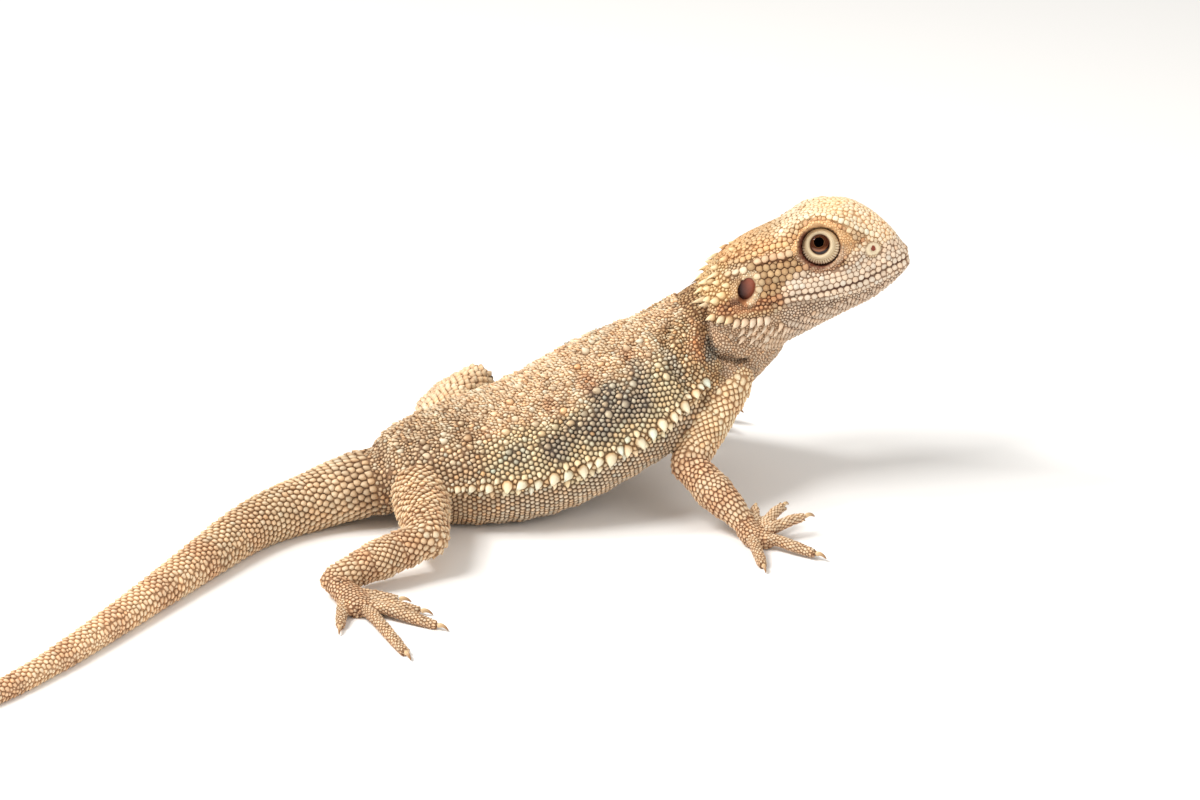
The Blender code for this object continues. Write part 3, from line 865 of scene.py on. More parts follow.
def spine(x, z, side, lie, radius, height, lean, tone=1.0):
    """One cone on the side of the head, its tip leaning along its lie."""
    place, normal = hit_head(x, z, side)
    return seed(place, normal, lie, radius, height, CONE, lean, tone)


print("a row of lip plates has", len(along_line(MOUTH, 1.34)), "places on each side")

# %% Spines and cones behind the head
# Places, and how far the spine leans, or the radius of the cone
REAR_SPINES = [(-8.6, -2.3, 3.0), (-8.0, -3.1, 2.6), (-5.4, 2.2, 2.6), (-7.6, 0.6, 2.0), (-8.8, -0.9, 2.0)]
REAR_CONES = [
    (-3.0, 4.4, 0.95), (-6.5, 1.1, 1.0), (-4.6, -0.7, 0.9), (-6.1, -1.8, 0.95), (-7.6, -1.7, 0.9),
    (-5.2, 3.0, 0.85), (-1.2, 5.6, 0.75), (-3.4, 0.9, 0.7), (-7.4, -0.2, 0.8), (-5.2, 1.2, 0.75),
    (-6.6, 4.6, 0.85), (-4.4, 6.0, 0.75), (-8.4, 2.4, 0.85),
]
JOWL_SPINES = [
    (-7.3, -4.5), (-5.6, -4.8), (-4.0, -5.1), (-2.6, -5.9),
    (-1.0, -6.0), (0.6, -6.3), (2.0, -6.4), (3.4, -6.6),
]
BEARD_SPINES = [
    (-1.7, -7.9), (-0.2, -8.3), (1.3, -9.3), (1.3, -7.4), (2.7, -8.1), (4.1, -8.7),
    (2.7, -10.4), (4.9, -9.6), (5.9, -8.6), (0.0, -10.2), (6.6, -9.9), (-2.0, -9.7),
]
BACK_DOWN = unit(BACK + 0.75 * DOWN)
REAR_LIE = unit(BACK + 0.1 * DOWN)
spines = []
for side in (-1, 1):
    spines += [spine(x, z, side, REAR_LIE, 0.86, 1.4, lean) for x, z, lean in REAR_SPINES]
    spines += [spine(x, z, side, BACK_DOWN, 0.86, 1.3, 1.35) for x, z in JOWL_SPINES]
    spines += [spine(x, z, side, BACK_DOWN, 0.54, 1.2, 1.8) for x, z in BEARD_SPINES]
    spines += [spine(x, z, side, BACK, size, 1.15 * size + 0.1, 0.95, 0.6) for x, z, size in REAR_CONES]
coat.add("head spines", spines, 0.6)
print("head spines:", coat.count())

# %% Rows of plates on the face
TEMPLE_UPPER = [(9.6, 0, 6.7), (5.5, 0, 6.3), (1.4, 0, 5.1), (-2.0, 0, 4.3)]
TEMPLE = [
    (10.0, 0, 5.2), (7.9, 0, 5.0), (5.5, 0, 4.9), (3.4, 0, 4.5),
    (1.4, 0, 3.6), (-0.7, 0, 3.2), (-2.8, 0, 2.8),
]
BROW = [
    (9.2, 0, 8.6), (12.2, 0, 10.1), (16.2, 0, 11.1), (19.0, 0, 10.6), (22.3, 0, 8.9),
    (24.4, 0, 6.9), (26.9, 0, 5.1), (29.0, 0, 3.8),
]
UNDER_EYE = [(11.4, 0, 0.0), (14.0, 0, -1.2), (17.6, 0, -1.4), (21.2, 0, -0.6), (24.0, 0, 0.8)]
NOSTRIL_FOLD = [(21.4, 0, 1.6), (22.8, 0, 2.6), (24.2, 0, 3.4)]
# Rows of plates: line, spacing, radius, height, distance above the line, and how much paler they are
FACE_ROWS = [
    ("temple plates", TEMPLE, 1.6, 0.84, 0.42, 0.0, 0.2),
    ("upper temple plates", TEMPLE_UPPER, 1.35, 0.68, 0.34, 0.0, 0.1),
    ("upper lip", MOUTH, 1.34, 0.56, 0.3, 0.74, 0.1),
    ("lower lip", MOUTH, 1.38, 0.57, 0.28, -0.74, 0.1),
    ("second lip row", MOUTH[1:], 1.26, 0.57, 0.26, 1.82, 0.05),
    ("third lip row", MOUTH[1:-1], 1.15, 0.51, 0.22, 2.8, 0.0),
    ("second jaw row", MOUTH[1:], 1.0, 0.47, 0.22, -1.7, 0.0),
    ("brow ridge", BROW, 1.2, 0.6, 0.32, 0.0, 0.4),
    ("under the eye", UNDER_EYE, 1.0, 0.5, 0.22, 0.0, 0.2),
    ("fold to the nostril", NOSTRIL_FOLD, 0.8, 0.4, 0.2, 0.0, 0.3),
]
for name, *row in FACE_ROWS:
    coat.add(name, face_row(*row))
print("seeds on the face:", coat.count())

# %% Cheek plates
CHEEK_CORNER, CHEEK_STEPS = (2.2, -1.6), (1.42, 1.2)
cheek = []
for row in range(7):
    for column in range(8):
        x = CHEEK_CORNER[0] + CHEEK_STEPS[0] * column + 0.7 * (row % 2)
        z = CHEEK_CORNER[1] + CHEEK_STEPS[1] * row
        from_ear = math.hypot((x - 0.4) / 2.4, (z + 0.2) / 3.0)
        for side in (-1, 1):
            place, normal = hit_head(x, z, side)
            if from_ear > 1.0 and in_orbit(to_head(place)[None])[0] > 1.06:
                cheek.append(seed(place, normal, BACK, 0.72, 0.36, PLATE, tone=0.05))
coat.add("cheek plates", cheek)
print("cheek plates:", coat.batch[-1][1])

# %% Rows round an axis
ROUND_SAMPLES, THROAT_TOP = 61, -5.6


def around(axis, distance, spot):
    """A ray from the axis through the part's edge at a turn of `spot` degrees: 0 left, 90 top."""
    centre, sizes, _, side, up = axis.at(distance)
    across, rise = math.cos(math.radians(spot)), math.sin(math.radians(spot))
    edge = side * sizes[0] * across + up * (sizes[1] if rise > 0 else sizes[2]) * rise
    return centre, edge


def shaken(amount):
    """A random number, up to half the amount to either side of 0."""
    return (random.random() - 0.5) * amount


def rows_round(
    axis, start, end, pitch, turns, shape, height,
    tip=0.0, slant=0.0, row_share=0.866, jitter=0.0, radius=None, anchored=False,
):
    """Rows of seeds round an axis. `turns` is the range of degrees that each row covers."""
    seeds, distance, row = [], start, 0
    while distance < end:
        size = pitch(distance) if callable(pitch) else pitch
        _, edges_round = zip(*(around(axis, distance, spot) for spot in np.linspace(*turns, ROUND_SAMPLES)))
        arc = lengths_along(np.array(edges_round))
        spacing = size if anchored else arc[-1] / max(round(arc[-1] / size), 3)
        count = int(arc[-1] / spacing - 0.01) + 1
        for k in range(count):
            place_on_arc = (k + 0.5 * (row % 2)) * spacing + shaken(jitter)
            spot = np.interp(place_on_arc, arc, np.linspace(*turns, ROUND_SAMPLES))
            moved = distance + slant * place_on_arc + shaken(jitter)
            if not 0 <= moved <= axis.length:
                continue
            centre, edge = around(axis, moved, spot)
            reach = np.linalg.norm(edge)
            place, normal = hit(centre, edge, reach * 1.4 + 1.0)
            if place is None or np.linalg.norm(place - centre) < 0.5 * reach:
                continue
            lie = axis.at(moved)[2] * axis.lie
            if slant:
                onward = around(axis, moved, spot + np.sign(turns[1] - turns[0]))[1] - edge
                lie = unit(onward) + slant * axis.at(moved)[2]
            seeds.append(seed(place, normal, lie, radius or size * 0.5, height * size, shape, tip * size))
        distance += size * row_share
        row += 1
    return seeds


def owned(seeds, *words):
    """The seeds that lie on their own part and not on a neighbour that stuck out in the ray's way."""
    seeds = [one for one in seeds if one[0] is not None]
    if not seeds:
        return seeds
    mine = Places(np.array([s[0] for s in seeds])).on(*words)
    return [s for s, good in zip(seeds, mine) if good]


print("a ray from the head's axis:", around(AXIS["head"], 10.0, 90)[1].round(1))

# %% The throat's fine oblique rows
throat_axis = AXIS["head"]
for turns in ((-24, -90), (-156, -90)):
    throat = rows_round(
        throat_axis, 1.0, throat_axis.length + 12, 1.27, turns, KEEL, 0.3,
        slant=-1.0, row_share=1.0, anchored=True, radius=0.62,
    )
    coat.add("throat", [s for s in owned(throat, "head") if to_head(s[0])[2] < THROAT_TOP], 0.72)
print("head seeds:", coat.batch)

# %% [markdown]
# ## The body's rows
# Down each side a fringe of pale cones marks the body's widest line. Flank bumps start above it and
# low belly bumps below it, each row set half a step past the last, so that they read as slanting
# lines. The back carries bands of larger tubercles between keeled scales, and the tail, legs and toes
# are ringed by pointed keeled scales.

# %% Fringe, back, flanks and belly
def grow(name, part, crowding, *rows, **options):
    """Adds rows round an axis, kept to the skin of one part."""
    coat.add(name, owned(rows_round(*rows, **options), part), crowding)


# Rows of the fringe: degrees up from the widest line, first place along the body, step and size
FRINGE_ROWS = [
    (1.5, 8.0, 3.1, 1.0), (8.0, 8.0, 2.7, 0.62), (-5.0, 8.0, 2.4, 0.6), (3.5, 8.0 + 1.55, 3.1, 0.7),
]
fringe, back = [], []
for row_angle, row_start, row_step, row_size in FRINGE_ROWS:
    for distance in np.arange(row_start, 67.0, row_step):
        share = ramp(distance, 8, 16) * (1 - 0.3 * ramp(distance, 58, 8))
        for turned in (row_angle, 180 - row_angle):
            moved = distance + 0.7 * random.random()
            centre, edge = around(TRUNK_AXIS, moved, turned + shaken(2.5))
            place, normal = hit(centre, edge, 30)
            size = row_size * (0.62 + 0.48 * share) * (0.86 + 0.32 * random.random())
            here = TRUNK_AXIS.at(moved)
            pointing = unit(here[2] * -0.6 - here[4] * 0.9 + 0.25 * random.normal(0, 1, 3))
            fringe.append(seed(place, normal, pointing, size, 1.2 * size, CONE, 1.35 * size, 1.0))
coat.add("side fringe", owned(fringe, "body"), 0.8)
BANDS = [
    # first place, last place and step along the body, turns of the tubercles, and their radius
    (4.0, 63.0, 3.8, (30, 41, 51, 60, 69, 78, 90, 102, 111, 120, 129, 139, 150), 0.78),
    (5.9, 63.0, 3.8, (38, 47, 56, 65, 74, 84, 96, 106, 115, 124, 133, 142), 0.56),
    (62.0, 82.0, 2.2, (20, 34, 48, 62, 76, 90, 104, 118, 132, 146, 160), 0.46),
]
for start, end, step, spots, size in BANDS:
    for distance in np.arange(start, end, step):
        for turned in spots:
            moved = distance + shaken(0.9)
            centre, edge = around(TRUNK_AXIS, moved, turned + shaken(5))
            place, normal = hit(centre, edge, 30)
            radius = size * (0.72 + 0.5 * random.random())
            if place is not None and random.random() > 0.16:
                lie, pale = -TRUNK_AXIS.at(moved)[2], random.uniform(-0.3, 0.8)
                back.append(seed(place, normal, lie, radius, 1.1 * radius, CONE, radius, pale))
back = [one for one in owned(back, "body") if in_pouch(to_head(one[0])[None])[0] < 0.5]
coat.add("back tubercles", back, 0.8)
grow("back", "body", 0.74, TRUNK_AXIS, 3, 80, 0.84, (50, 130), KEEL, 0.62, jitter=0.36, radius=0.4)
for flank_turns, belly_turns in (((5, 52), (-3, -92)), ((175, 128), (-177, -92))):
    grow(
        "flank", "body", 0.76, TRUNK_AXIS, 3, 68, 1.12, flank_turns, BUMP, 0.46,
        jitter=0.36, anchored=True, tip=0.25, radius=0.52,
    )
    grow(
        "belly", "body", 0.76, TRUNK_AXIS, 1, 66, 1.04, belly_turns, BUMP, 0.34,
        jitter=0.1, anchored=True, radius=0.51,
    )
print("seeds on the body:", coat.batch[-6:])

# %% Tail, legs and digits
TAIL_AXIS = AXIS["tail"]
ALL_ROUND = (-90, 270)
# Spacing of the scales at the top of a limb, how much finer they get down to its end, and their height
LIMB_SCALES = {"leg": (1.9, 0.8, 0.42), "arm": (1.62, 0.68, 0.32)}


def tail_pitch(distance):
    return 1.65 - 0.8 * (distance / TAIL_AXIS.length) ** 0.8


grow(
    "tail", "tail", 0.7, TAIL_AXIS, 1.5, TAIL_AXIS.length - 1, tail_pitch, ALL_ROUND, KEEL, 0.42, jitter=0.08
)
for name in LIMBS:
    axis, palm = AXIS[name], AXIS[name + "_palm"]
    coarse, finer, high = LIMB_SCALES[name[-3:]]

    def limb_pitch(distance):
        return coarse - finer * (distance / axis.length)

    grow(
        name, name, 0.7, axis, 1.0, axis.length, limb_pitch, ALL_ROUND, KEEL, high,
        jitter=0.05, row_share=0.58,
    )
    grow(name + " palm", "palm", 0.7, palm, 0.4, palm.length, 0.84, ALL_ROUND, KEEL, 0.26)
    for number in range(1, 6):
        toe = AXIS[f"{name}_digit_{number}"]
        grow(toe.name, "digit", 0.66, toe, 1.0, toe.length - 0.1, 0.72, ALL_ROUND, KEEL, 0.24)
print("seeds after the rows:", coat.count())

# %% Fill what is bare with granules
where = Places(points)
face = to_head(points)
ear_gap, nose_gap, mouth_gap = (nearer(reach, face) for reach in (ear_reach, nostril_reach, mouth_reach))
eye_gap, orbit, pouch = from_eye_line(face), in_orbit(face), in_pouch(face)


def grain(where, face):
    """The natural spacing of small scales at each point of the skin. Later lines overrule earlier ones."""
    x, _, z = face.T
    body, head = where.on("body"), where.on("head")
    upper = np.interp(x, [-8, 2, 8, 16], [3.4, 5.4, 6.2, 5.6])
    pitch = np.full(len(face), 1.0)
    for here, spacing in (
        (body & (where.angle > 45), 0.86),
        (body & (where.along > 64), 0.74),
        (body & (where.along > 64) & (where.rise < -0.3), 0.66),
        (where.on("tail"), 1.1 - 0.003 * where.along),
        (where.on("arm", "leg"), 0.9),
        (where.on("palm"), 0.72),
        (where.on("digit"), 0.62),
        (head, 0.86),
        (head & (z > upper), 1.0),
        (head & (x > 24) & (z > -1), 1.0),
        (head & (z < -4.5), 0.66),
        (head & (ear_gap < 1.9), 0.52),
        (head & (orbit < 1.0), 0.5),
        ((head | body) & (pouch > 0.5), 0.62),
        (head & (nose_gap < 1.7), 0.55),
    ):
        pitch = np.where(here, spacing, pitch)
    return pitch


bare = where.on("head") & ((ear_gap < 1.1) | (eye_gap < 4.2) | (nose_gap < 1.25) | (mouth_gap < 0.4))
pitch_here = grain(where, face)
corners = np.array([p for p in polygons if len(p) == 4])
a, b, c, d = (points[corners[:, i]] for i in range(4))
area = np.linalg.norm(np.cross(c - a, d - b), axis=1) / 2
weight = area / pitch_here[corners[:, 0]] ** 2
weight[bare[corners].any(axis=1)] = 0
weight[points[corners[:, 0], 2] < 0.12] *= 0.3
TRIES, SIZE_RANGE, FINEST = 150000, (0.78, 1.2), 0.52
chosen = random.choice(len(corners), TRIES, p=weight / weight.sum())
u, v = random.random((2, TRIES, 1))
thrown = (1 - u) * ((1 - v) * a[chosen] + v * d[chosen]) + u * ((1 - v) * b[chosen] + v * c[chosen])
thrown_pitch = pitch_here[corners[chosen, 0]]
first = coat.count()
thrown_where = Places(points[corners[chosen, 0]])
sizes = random.uniform(*SIZE_RANGE, TRIES)
on_head = thrown_where.on("head")
fill = []
for i, corner in enumerate(corners[chosen, 0]):
    pitch = thrown_pitch[i]
    high = pitch * (0.34 if pitch > FINEST else 0.22)
    shape = PLATE if pitch > 0.95 and on_head[i] else GRANULE
    fill.append(seed(thrown[i], normals[corner], thrown_where.lie[i], pitch * 0.5 * sizes[i], high, shape))
coat.add("granules", fill, 0.74)
print("seeds in all:", coat.count(), "of which granules", coat.count() - first)

# %% [markdown]
# ## From seeds to scales
# Neighbouring scales share the skin between them, so a scale's outline is the part of the skin that
# is nearer to its own seed than to any other. Eight measurements round each seed, with the way it
# lies first, find that outline. A shape is then raised on it: flat plate, round bump, keeled scale
# whose tip covers the next, or cone.

# %% Let the granules settle, then read every seed
def settle(place, normal, radius, first, rounds=3):
    """Moves the granules a little away from whatever crowds them, and back onto the skin."""
    for _ in range(rounds):
        tree = tree_of(place)
        for i in range(first, len(place)):
            push = np.zeros(3)
            for near, j, gap in tree.find_n(place[i], 7):
                room = 1.02 * (radius[i] + radius[j])
                if 1e-6 < gap < room:
                    push += (place[i] - np.array(near)) / gap * (room - gap) * 0.32
            spot, up, _, _ = surface.find_nearest(Vector(place[i] + push))
            place[i], normal[i] = spot, up
    return place, normal


place, normal, lie, radius, height, tip, shape, tone = (coat.column(field) for field in Coat.FIELDS)
place, normal = settle(place, normal, radius, first)
root_face = np.array([surface.find_nearest(Vector(spot))[2] for spot in place])
on_back = Places(place).angle > 40
lie = lie + 0.3 * random.normal(0, 1, lie.shape) * (on_back & (shape != PLATE))[:, None]
lie = unit(lie - normal * (lie * normal).sum(1)[:, None])
beside = np.cross(normal, lie)
seed_where, seed_face = Places(place), to_head(place)

# %% Measure each scale's outline
NEIGHBOURS = 14
near = np.full((len(place), NEIGHBOURS), -1)
tree = tree_of(place)
for i, spot in enumerate(place):
    found = [j for _, j, _ in tree.find_n(spot, NEIGHBOURS + 1) if j != i][:NEIGHBOURS]
    near[i, :len(found)] = found
offset = place[near] - place[:, None]
forward = np.einsum("nki,ni->nk", offset, lie)
sideways = np.einsum("nki,ni->nk", offset, beside)
facing = np.einsum("nki,ni->nk", normal[near], normal)
limit = (forward**2 + sideways**2 + radius[:, None] ** 2 - radius[near] ** 2) / 2
limit = np.where((facing > 0.25) & (near >= 0), np.maximum(limit, 0.02), 1e6)


def outline(sides):
    """How far each scale reaches in a number of directions, from the way it lies round."""
    reach = np.empty((len(place), sides))
    for k in range(sides):
        turn = 2 * math.pi * k / sides
        ahead = forward * math.cos(turn) + sideways * math.sin(turn)
        reach[:, k] = np.where(ahead > 1e-6, limit / np.maximum(ahead, 1e-6), 1e6).min(1)
    return np.clip(reach, 0.4 * radius[:, None], 1.22 * radius[:, None])


print("outlines measured, mean reach", round(float(outline(8).mean()), 3), "mm")

# %% [markdown]
# ## Colours and markings
# Sandy, with charcoal patches on the side, cream tubercles and a warm orange round the brow and ear.
# Every region has three tones: the dark of the skin between scales, the colour of a scale, and its
# pale crown. They are laid over one another by soft masks that ask where on the body a point is, so
# that skin and scales carry the same markings. Some masks are painted shade: in the creases, round
# the lids, inside the ear, nostril and mouth, and behind the jowl.

# %% Tones: dark, middle and light of each region
TONES = {
    "crown": ((222, 186, 134), (246, 216, 168), (254, 236, 198)),
    "brow": ((150, 96, 56), (214, 166, 112), (246, 206, 156)),
    "snout": ((212, 170, 126), (247, 213, 169), (254, 242, 216)),
    "lips": ((140, 104, 78), (222, 194, 166), (249, 236, 213)),
    "cheek": ((84, 50, 26), (152, 112, 74), (226, 196, 148)),
    "temple": ((120, 78, 46), (206, 176, 138), (242, 226, 198)),
    "throat": ((78, 48, 32), (196, 166, 138), (240, 222, 200)),
    "gular": ((130, 96, 68), (200, 168, 136), (238, 214, 186)),
    "ear_side": ((124, 78, 46), (194, 154, 108), (240, 216, 176)),
    "neck_side": ((98, 64, 36), (186, 148, 104), (242, 220, 180)),
    "flank": ((88, 66, 44), (188, 163, 124), (246, 226, 184)),
    "back": ((140, 104, 74), (206, 172, 134), (244, 220, 184)),
    "fringe": ((110, 70, 36), (200, 162, 116), (252, 240, 208)),
    "belly": ((64, 42, 26), (176, 146, 114), (248, 230, 202)),
    "hip": ((104, 70, 46), (174, 142, 108), (236, 210, 174)),
    "upper_arm": ((150, 100, 62), (232, 198, 152), (254, 240, 204)),
    "forearm": ((122, 74, 46), (196, 154, 116), (246, 220, 182)),
    "hand": ((104, 58, 34), (186, 142, 104), (244, 216, 178)),
    "thigh": ((142, 96, 62), (218, 182, 140), (250, 230, 192)),
    "shank": ((142, 94, 62), (208, 172, 132), (246, 220, 184)),
    "tail_base": ((124, 84, 54), (208, 174, 134), (248, 226, 192)),
    "tail_mid": ((164, 120, 84), (242, 204, 160), (252, 232, 198)),
    "tail_end": ((140, 98, 68), (208, 172, 134), (240, 212, 176)),
    "charcoal": ((50, 39, 36), (132, 114, 96), (212, 194, 164)),
    # the dark tone of the beard and the side, and also the painted shade behind the jowl
    "slate_and_shade": ((48, 38, 32), (112, 98, 82), (220, 210, 190)),
    "rust": ((104, 52, 28), (186, 118, 74), (236, 186, 136)),
    "amber": ((158, 108, 56), (214, 172, 110), (246, 222, 168)),
    # painted shade for hollows: round the lids, in the ear, nostril and mouth, in the pit below the ear and
    # on the lid rims
    "painted_shade": ((70, 32, 22), (120, 66, 48), (170, 116, 88)),
    "nostril": ((84, 30, 16), (140, 58, 32), (176, 92, 58)),
    "crown_back": ((124, 84, 48), (192, 152, 108), (238, 208, 166)),
    "loreal": ((102, 60, 34), (184, 140, 96), (234, 200, 156)),
    # the dark tone of the painted shade in creases
    "crease_shade": ((34, 20, 13), (96, 66, 46), (170, 138, 108)),
    "cream": ((176, 136, 92), (232, 208, 168), (254, 246, 222)),
    "lid": ((112, 70, 44), (198, 174, 136), (240, 224, 194)),
    "under_fold": ((132, 92, 66), (196, 162, 130), (232, 208, 178)),
    "tan_fold": ((178, 128, 82), (238, 192, 138), (250, 216, 168)),
}


def linear(colour):
    share = np.asarray(colour, float) / 255
    return np.where(share <= 0.04045, share / 12.92, ((share + 0.055) / 1.055) ** 2.4)


TONES = {name: linear(tones) for name, tones in TONES.items()}


def wander(points, size, turn=0.0):
    """A slow, smooth wander between -1 and 1 that breaks up the edges of markings."""
    p = points / size
    one = np.sin(p[:, 0] * 1.7 + p[:, 1] * 1.1 + turn) * np.sin(p[:, 1] * 1.9 - p[:, 2] * 1.3 + 2 * turn)
    two = np.sin(p[:, 2] * 3.1 + p[:, 0] * 2.3 - turn) * np.sin(p[:, 0] * 2.9 - p[:, 1] * 3.3 + turn)
    return 0.65 * one + 0.35 * two


print("tones:", len(TONES), "regions of three")

# %% Marks of the body, tail and limbs
# Patches on the body: distance along it, degrees up from its widest line, reach along and round, tone
BODY_PATCHES = [
    (32.5, 27, 3.6, 13, "charcoal", 0.95),
    (42.5, 30, 4.2, 17, "charcoal", 0.95),
    (52.5, 34, 4.6, 20, "charcoal", 1.0),
    (37.5, 34, 2.6, 13, "charcoal", 0.7),
    (47.8, 38, 3.8, 17, "charcoal", 0.9),
    (56.0, 48, 3.0, 16, "charcoal", 0.7),
    (45.5, 47, 3.0, 11, "charcoal", 0.8),
    (24.0, 30, 3.0, 10, "charcoal", 0.55),
    (63.5, 36, 1.6, 20, "slate_and_shade", 0.6),
    (71.5, 30, 3.6, 18, "rust", 0.6),
    (75.0, 52, 3.0, 16, "rust", 0.35),
    (80.0, 10, 2.4, 16, "amber", 0.6),
    (45.0, 62, 2.6, 9, "rust", 0.4),
    (36.0, 60, 2.2, 8, "rust", 0.4),
    (56.0, 66, 2.0, 8, "rust", 0.4),
    (20.0, 52, 2.2, 9, "rust", 0.3),
]


# Marks: the name of a tone and how strongly it covers each point. Later marks lie over earlier ones.
def body_marks(where, drift):
    body, along, angle = where.on("body") * 1.0, where.along, where.angle + 6 * drift
    yield "flank", body * band(angle, -8, 44, 10)
    yield "belly", body * band(angle, -120, -10, 8)
    yield "hip", body * band(along, -20, 13 + 3 * drift, 8)
    yield "neck_side", body * band(along, 67, 200, 7) * band(angle, -30, 60, 16)
    yield "gular", body * band(along, 64, 200, 6) * band(angle, -120, -22, 10)
    for spot, turned, reach, wide, name, strength in BODY_PATCHES:
        gap = np.hypot((along - spot) / reach, (where.angle - turned) / wide)
        yield name, body * strength * (1 - ramp(gap + 0.25 * drift, 0.55, 0.7))
    pale_bars = np.maximum(0, np.sin(along * 0.62 + 0.4)) ** 2 * band(angle, 42, 95, 10)
    yield "cream", body * 0.35 * pale_bars * band(along, 4, 66, 5)
    yield "fringe", body * 0.85 * band(where.angle, -2, 5, 4) * band(along, 8, 66, 5)


def tail_marks(where, drift):
    tail, along, share = where.on("tail") * 1.0, where.along, where.along / TAIL_LENGTH
    yield "tail_base", tail
    yield "hip", tail * (1 - smooth_step((along + 8 * drift) / 18))
    yield "tail_mid", tail * ramp(share, 0.15, 0.3)
    yield "tail_end", tail * ramp(share, 0.55, 0.35)
    rings = np.sin(along * 0.42 + 0.8 * drift)
    yield "rust", tail * 0.3 * ramp(rings, 0.1, 0.6) * ramp(share, 0.12, 0.2)
    yield "cream", tail * 0.22 * ramp(-rings, 0.4, 0.5)


def limb_marks(where, drift):
    rings = np.sin(where.along * 0.75 + drift)
    for kind, upper, lower, length in (("arm", "upper_arm", "forearm", 18), ("leg", "thigh", "shank", 26)):
        limb = where.on(kind) * 1.0
        yield upper, limb
        yield lower, limb * smooth_step((where.along - length) / 8 + 0.5)
        yield "cream", limb * 0.25 * ramp(rings, 0.3, 0.6)
        yield "rust", limb * 0.22 * ramp(-rings, 0.5, 0.5)
    yield "hand", where.on("palm", "digit") * 1.0
    yield "cream", where.on("digit") * 0.3 * band(where.rise, 0.2, 3, 0.6)


print("patches on the body:", len(BODY_PATCHES))


# %% Marks of the head
def head_marks(where, face, wobble):
    x, y, z = face[:, 0], np.abs(face[:, 1]), face[:, 2]
    head, body, on_jowl = where.on("head") * 1.0, where.on("body") * 1.0, band(y, 9, 20, 1)
    lip = np.interp(x, [5, 8, 18, 24, 31, 33.4], [-3.5, -3.1, -3.6, -3.4, -2.3, -2.2])
    slant = 1.3 * (z + 2.6)

    def stripe(width, places, heights):
        """A stripe at these heights over these places along the head."""
        return bell(z, np.interp(x, places, heights), width)

    yield "cheek", head
    yield "crown", head * smooth_step((z - 5.4 - 0.06 * (16 - x) + 0.5 * wobble) / 2.2)
    streaks = ramp(np.sin(2.3 * y + 0.12 * x + 1.4 * wobble), 0.1, 0.6)
    yield "brow", head * 0.5 * streaks * ramp(z, 7.4, 1.5) * ramp(x, 25, -4)
    yield "crown_back", head * ramp(x, 16.5, -5) * ramp(z, 4.6, 1.5)
    yield "snout", head * ramp(x, 20.5, 4) * ramp(z, 0.0, 2.0)
    yield "lips", head * ramp(x, 4, 3) * band(z, lip - 2.0, lip + 3.4, 1.2)
    yield "lips", head * ramp(x, 20, 3) * ramp(z, 3.2, -1.6)
    yield "throat", head * ramp(z, lip - 1.6, -1.6)
    yield "gular", head * ramp(z, -9.5, -4) * ramp(x, 9, -6)
    yield "ear_side", head * band(x, -8, 6, 3) * band(z, -4.6, 0.6, 1.4)
    temple_line = stripe(0.9, [-6, -3, 1, 5, 10], [2.2, 2.8, 3.5, 4.8, 5.1])
    yield "temple", head * 0.9 * temple_line * band(x, -6, 9.4, 1.2)
    brow_line = stripe(1.1, [-6, 0, 6, 10, 14, 22], [4.6, 5.8, 6.9, 7.6, 8.5, 8.2])
    yield "brow", head * 0.75 * brow_line * band(x, -6, 21, 2)
    yield "amber", head * 0.55 * band(x, -9.5, -3.6, 1.6) * band(z, -1.5, 5.5, 1.5)
    yield "amber", head * 0.3 * stripe(0.9, [-4, 2, 8], [5.4, 5.6, 6.4]) * band(x, -5, 10, 2)
    yield "rust", head * 0.4 * stripe(0.4, [-5, 2, 6, 10], [3.9, 6.0, 6.9, 7.3]) * band(x, -5, 11, 2)
    before_eye = np.hypot((x - 23.4) / 2.6, (z - 5.0) / 1.9)
    yield "loreal", head * 0.85 * (1 - ramp(before_eye, 0.6, 0.5))
    cheek_side = smooth_step((6.4 + slant - x + wobble) / 2)
    yield "cheek", head * 0.95 * band(x, 2.0, 12.0, 1.2) * band(z, -1.6, 3.9, 0.7) * cheek_side
    lip_side = smooth_step((x - 5.4 - slant - wobble) / 2)
    yield "lips", head * 0.5 * band(x, 5.0, 14.0, 1.5) * band(z, -3.0, 1.6, 0.8) * lip_side
    yield "rust", head * 0.4 * band(x, 4.0, 9.4, 1.0) * band(z, 4.2, 5.6, 0.6)
    yield "rust", head * 0.75 * band(x, -5.5, 6.5, 1.5) * band(z, -4.0, -2.3, 0.6) * on_jowl
    yield "slate_and_shade", head * 0.5 * band(x, -1.6, 5.6, 1.2) * band(z, -9.8, -7.3, 0.9) * on_jowl
    yield "gular", in_pouch(face) * np.maximum(head, body) * (y < 14)
    # painted shade in the crevice behind the jowl, on the nape
    nape = np.hypot((x + 9.0) / 1.6, (z + 11.0) / 3.0) + 0.25 * wobble
    yield "slate_and_shade", 0.9 * (1 - ramp(nape, 0.6, 0.5)) * (y > 5)


print("points of the skin that the head's marks are for:", int(where.on("head").sum()))


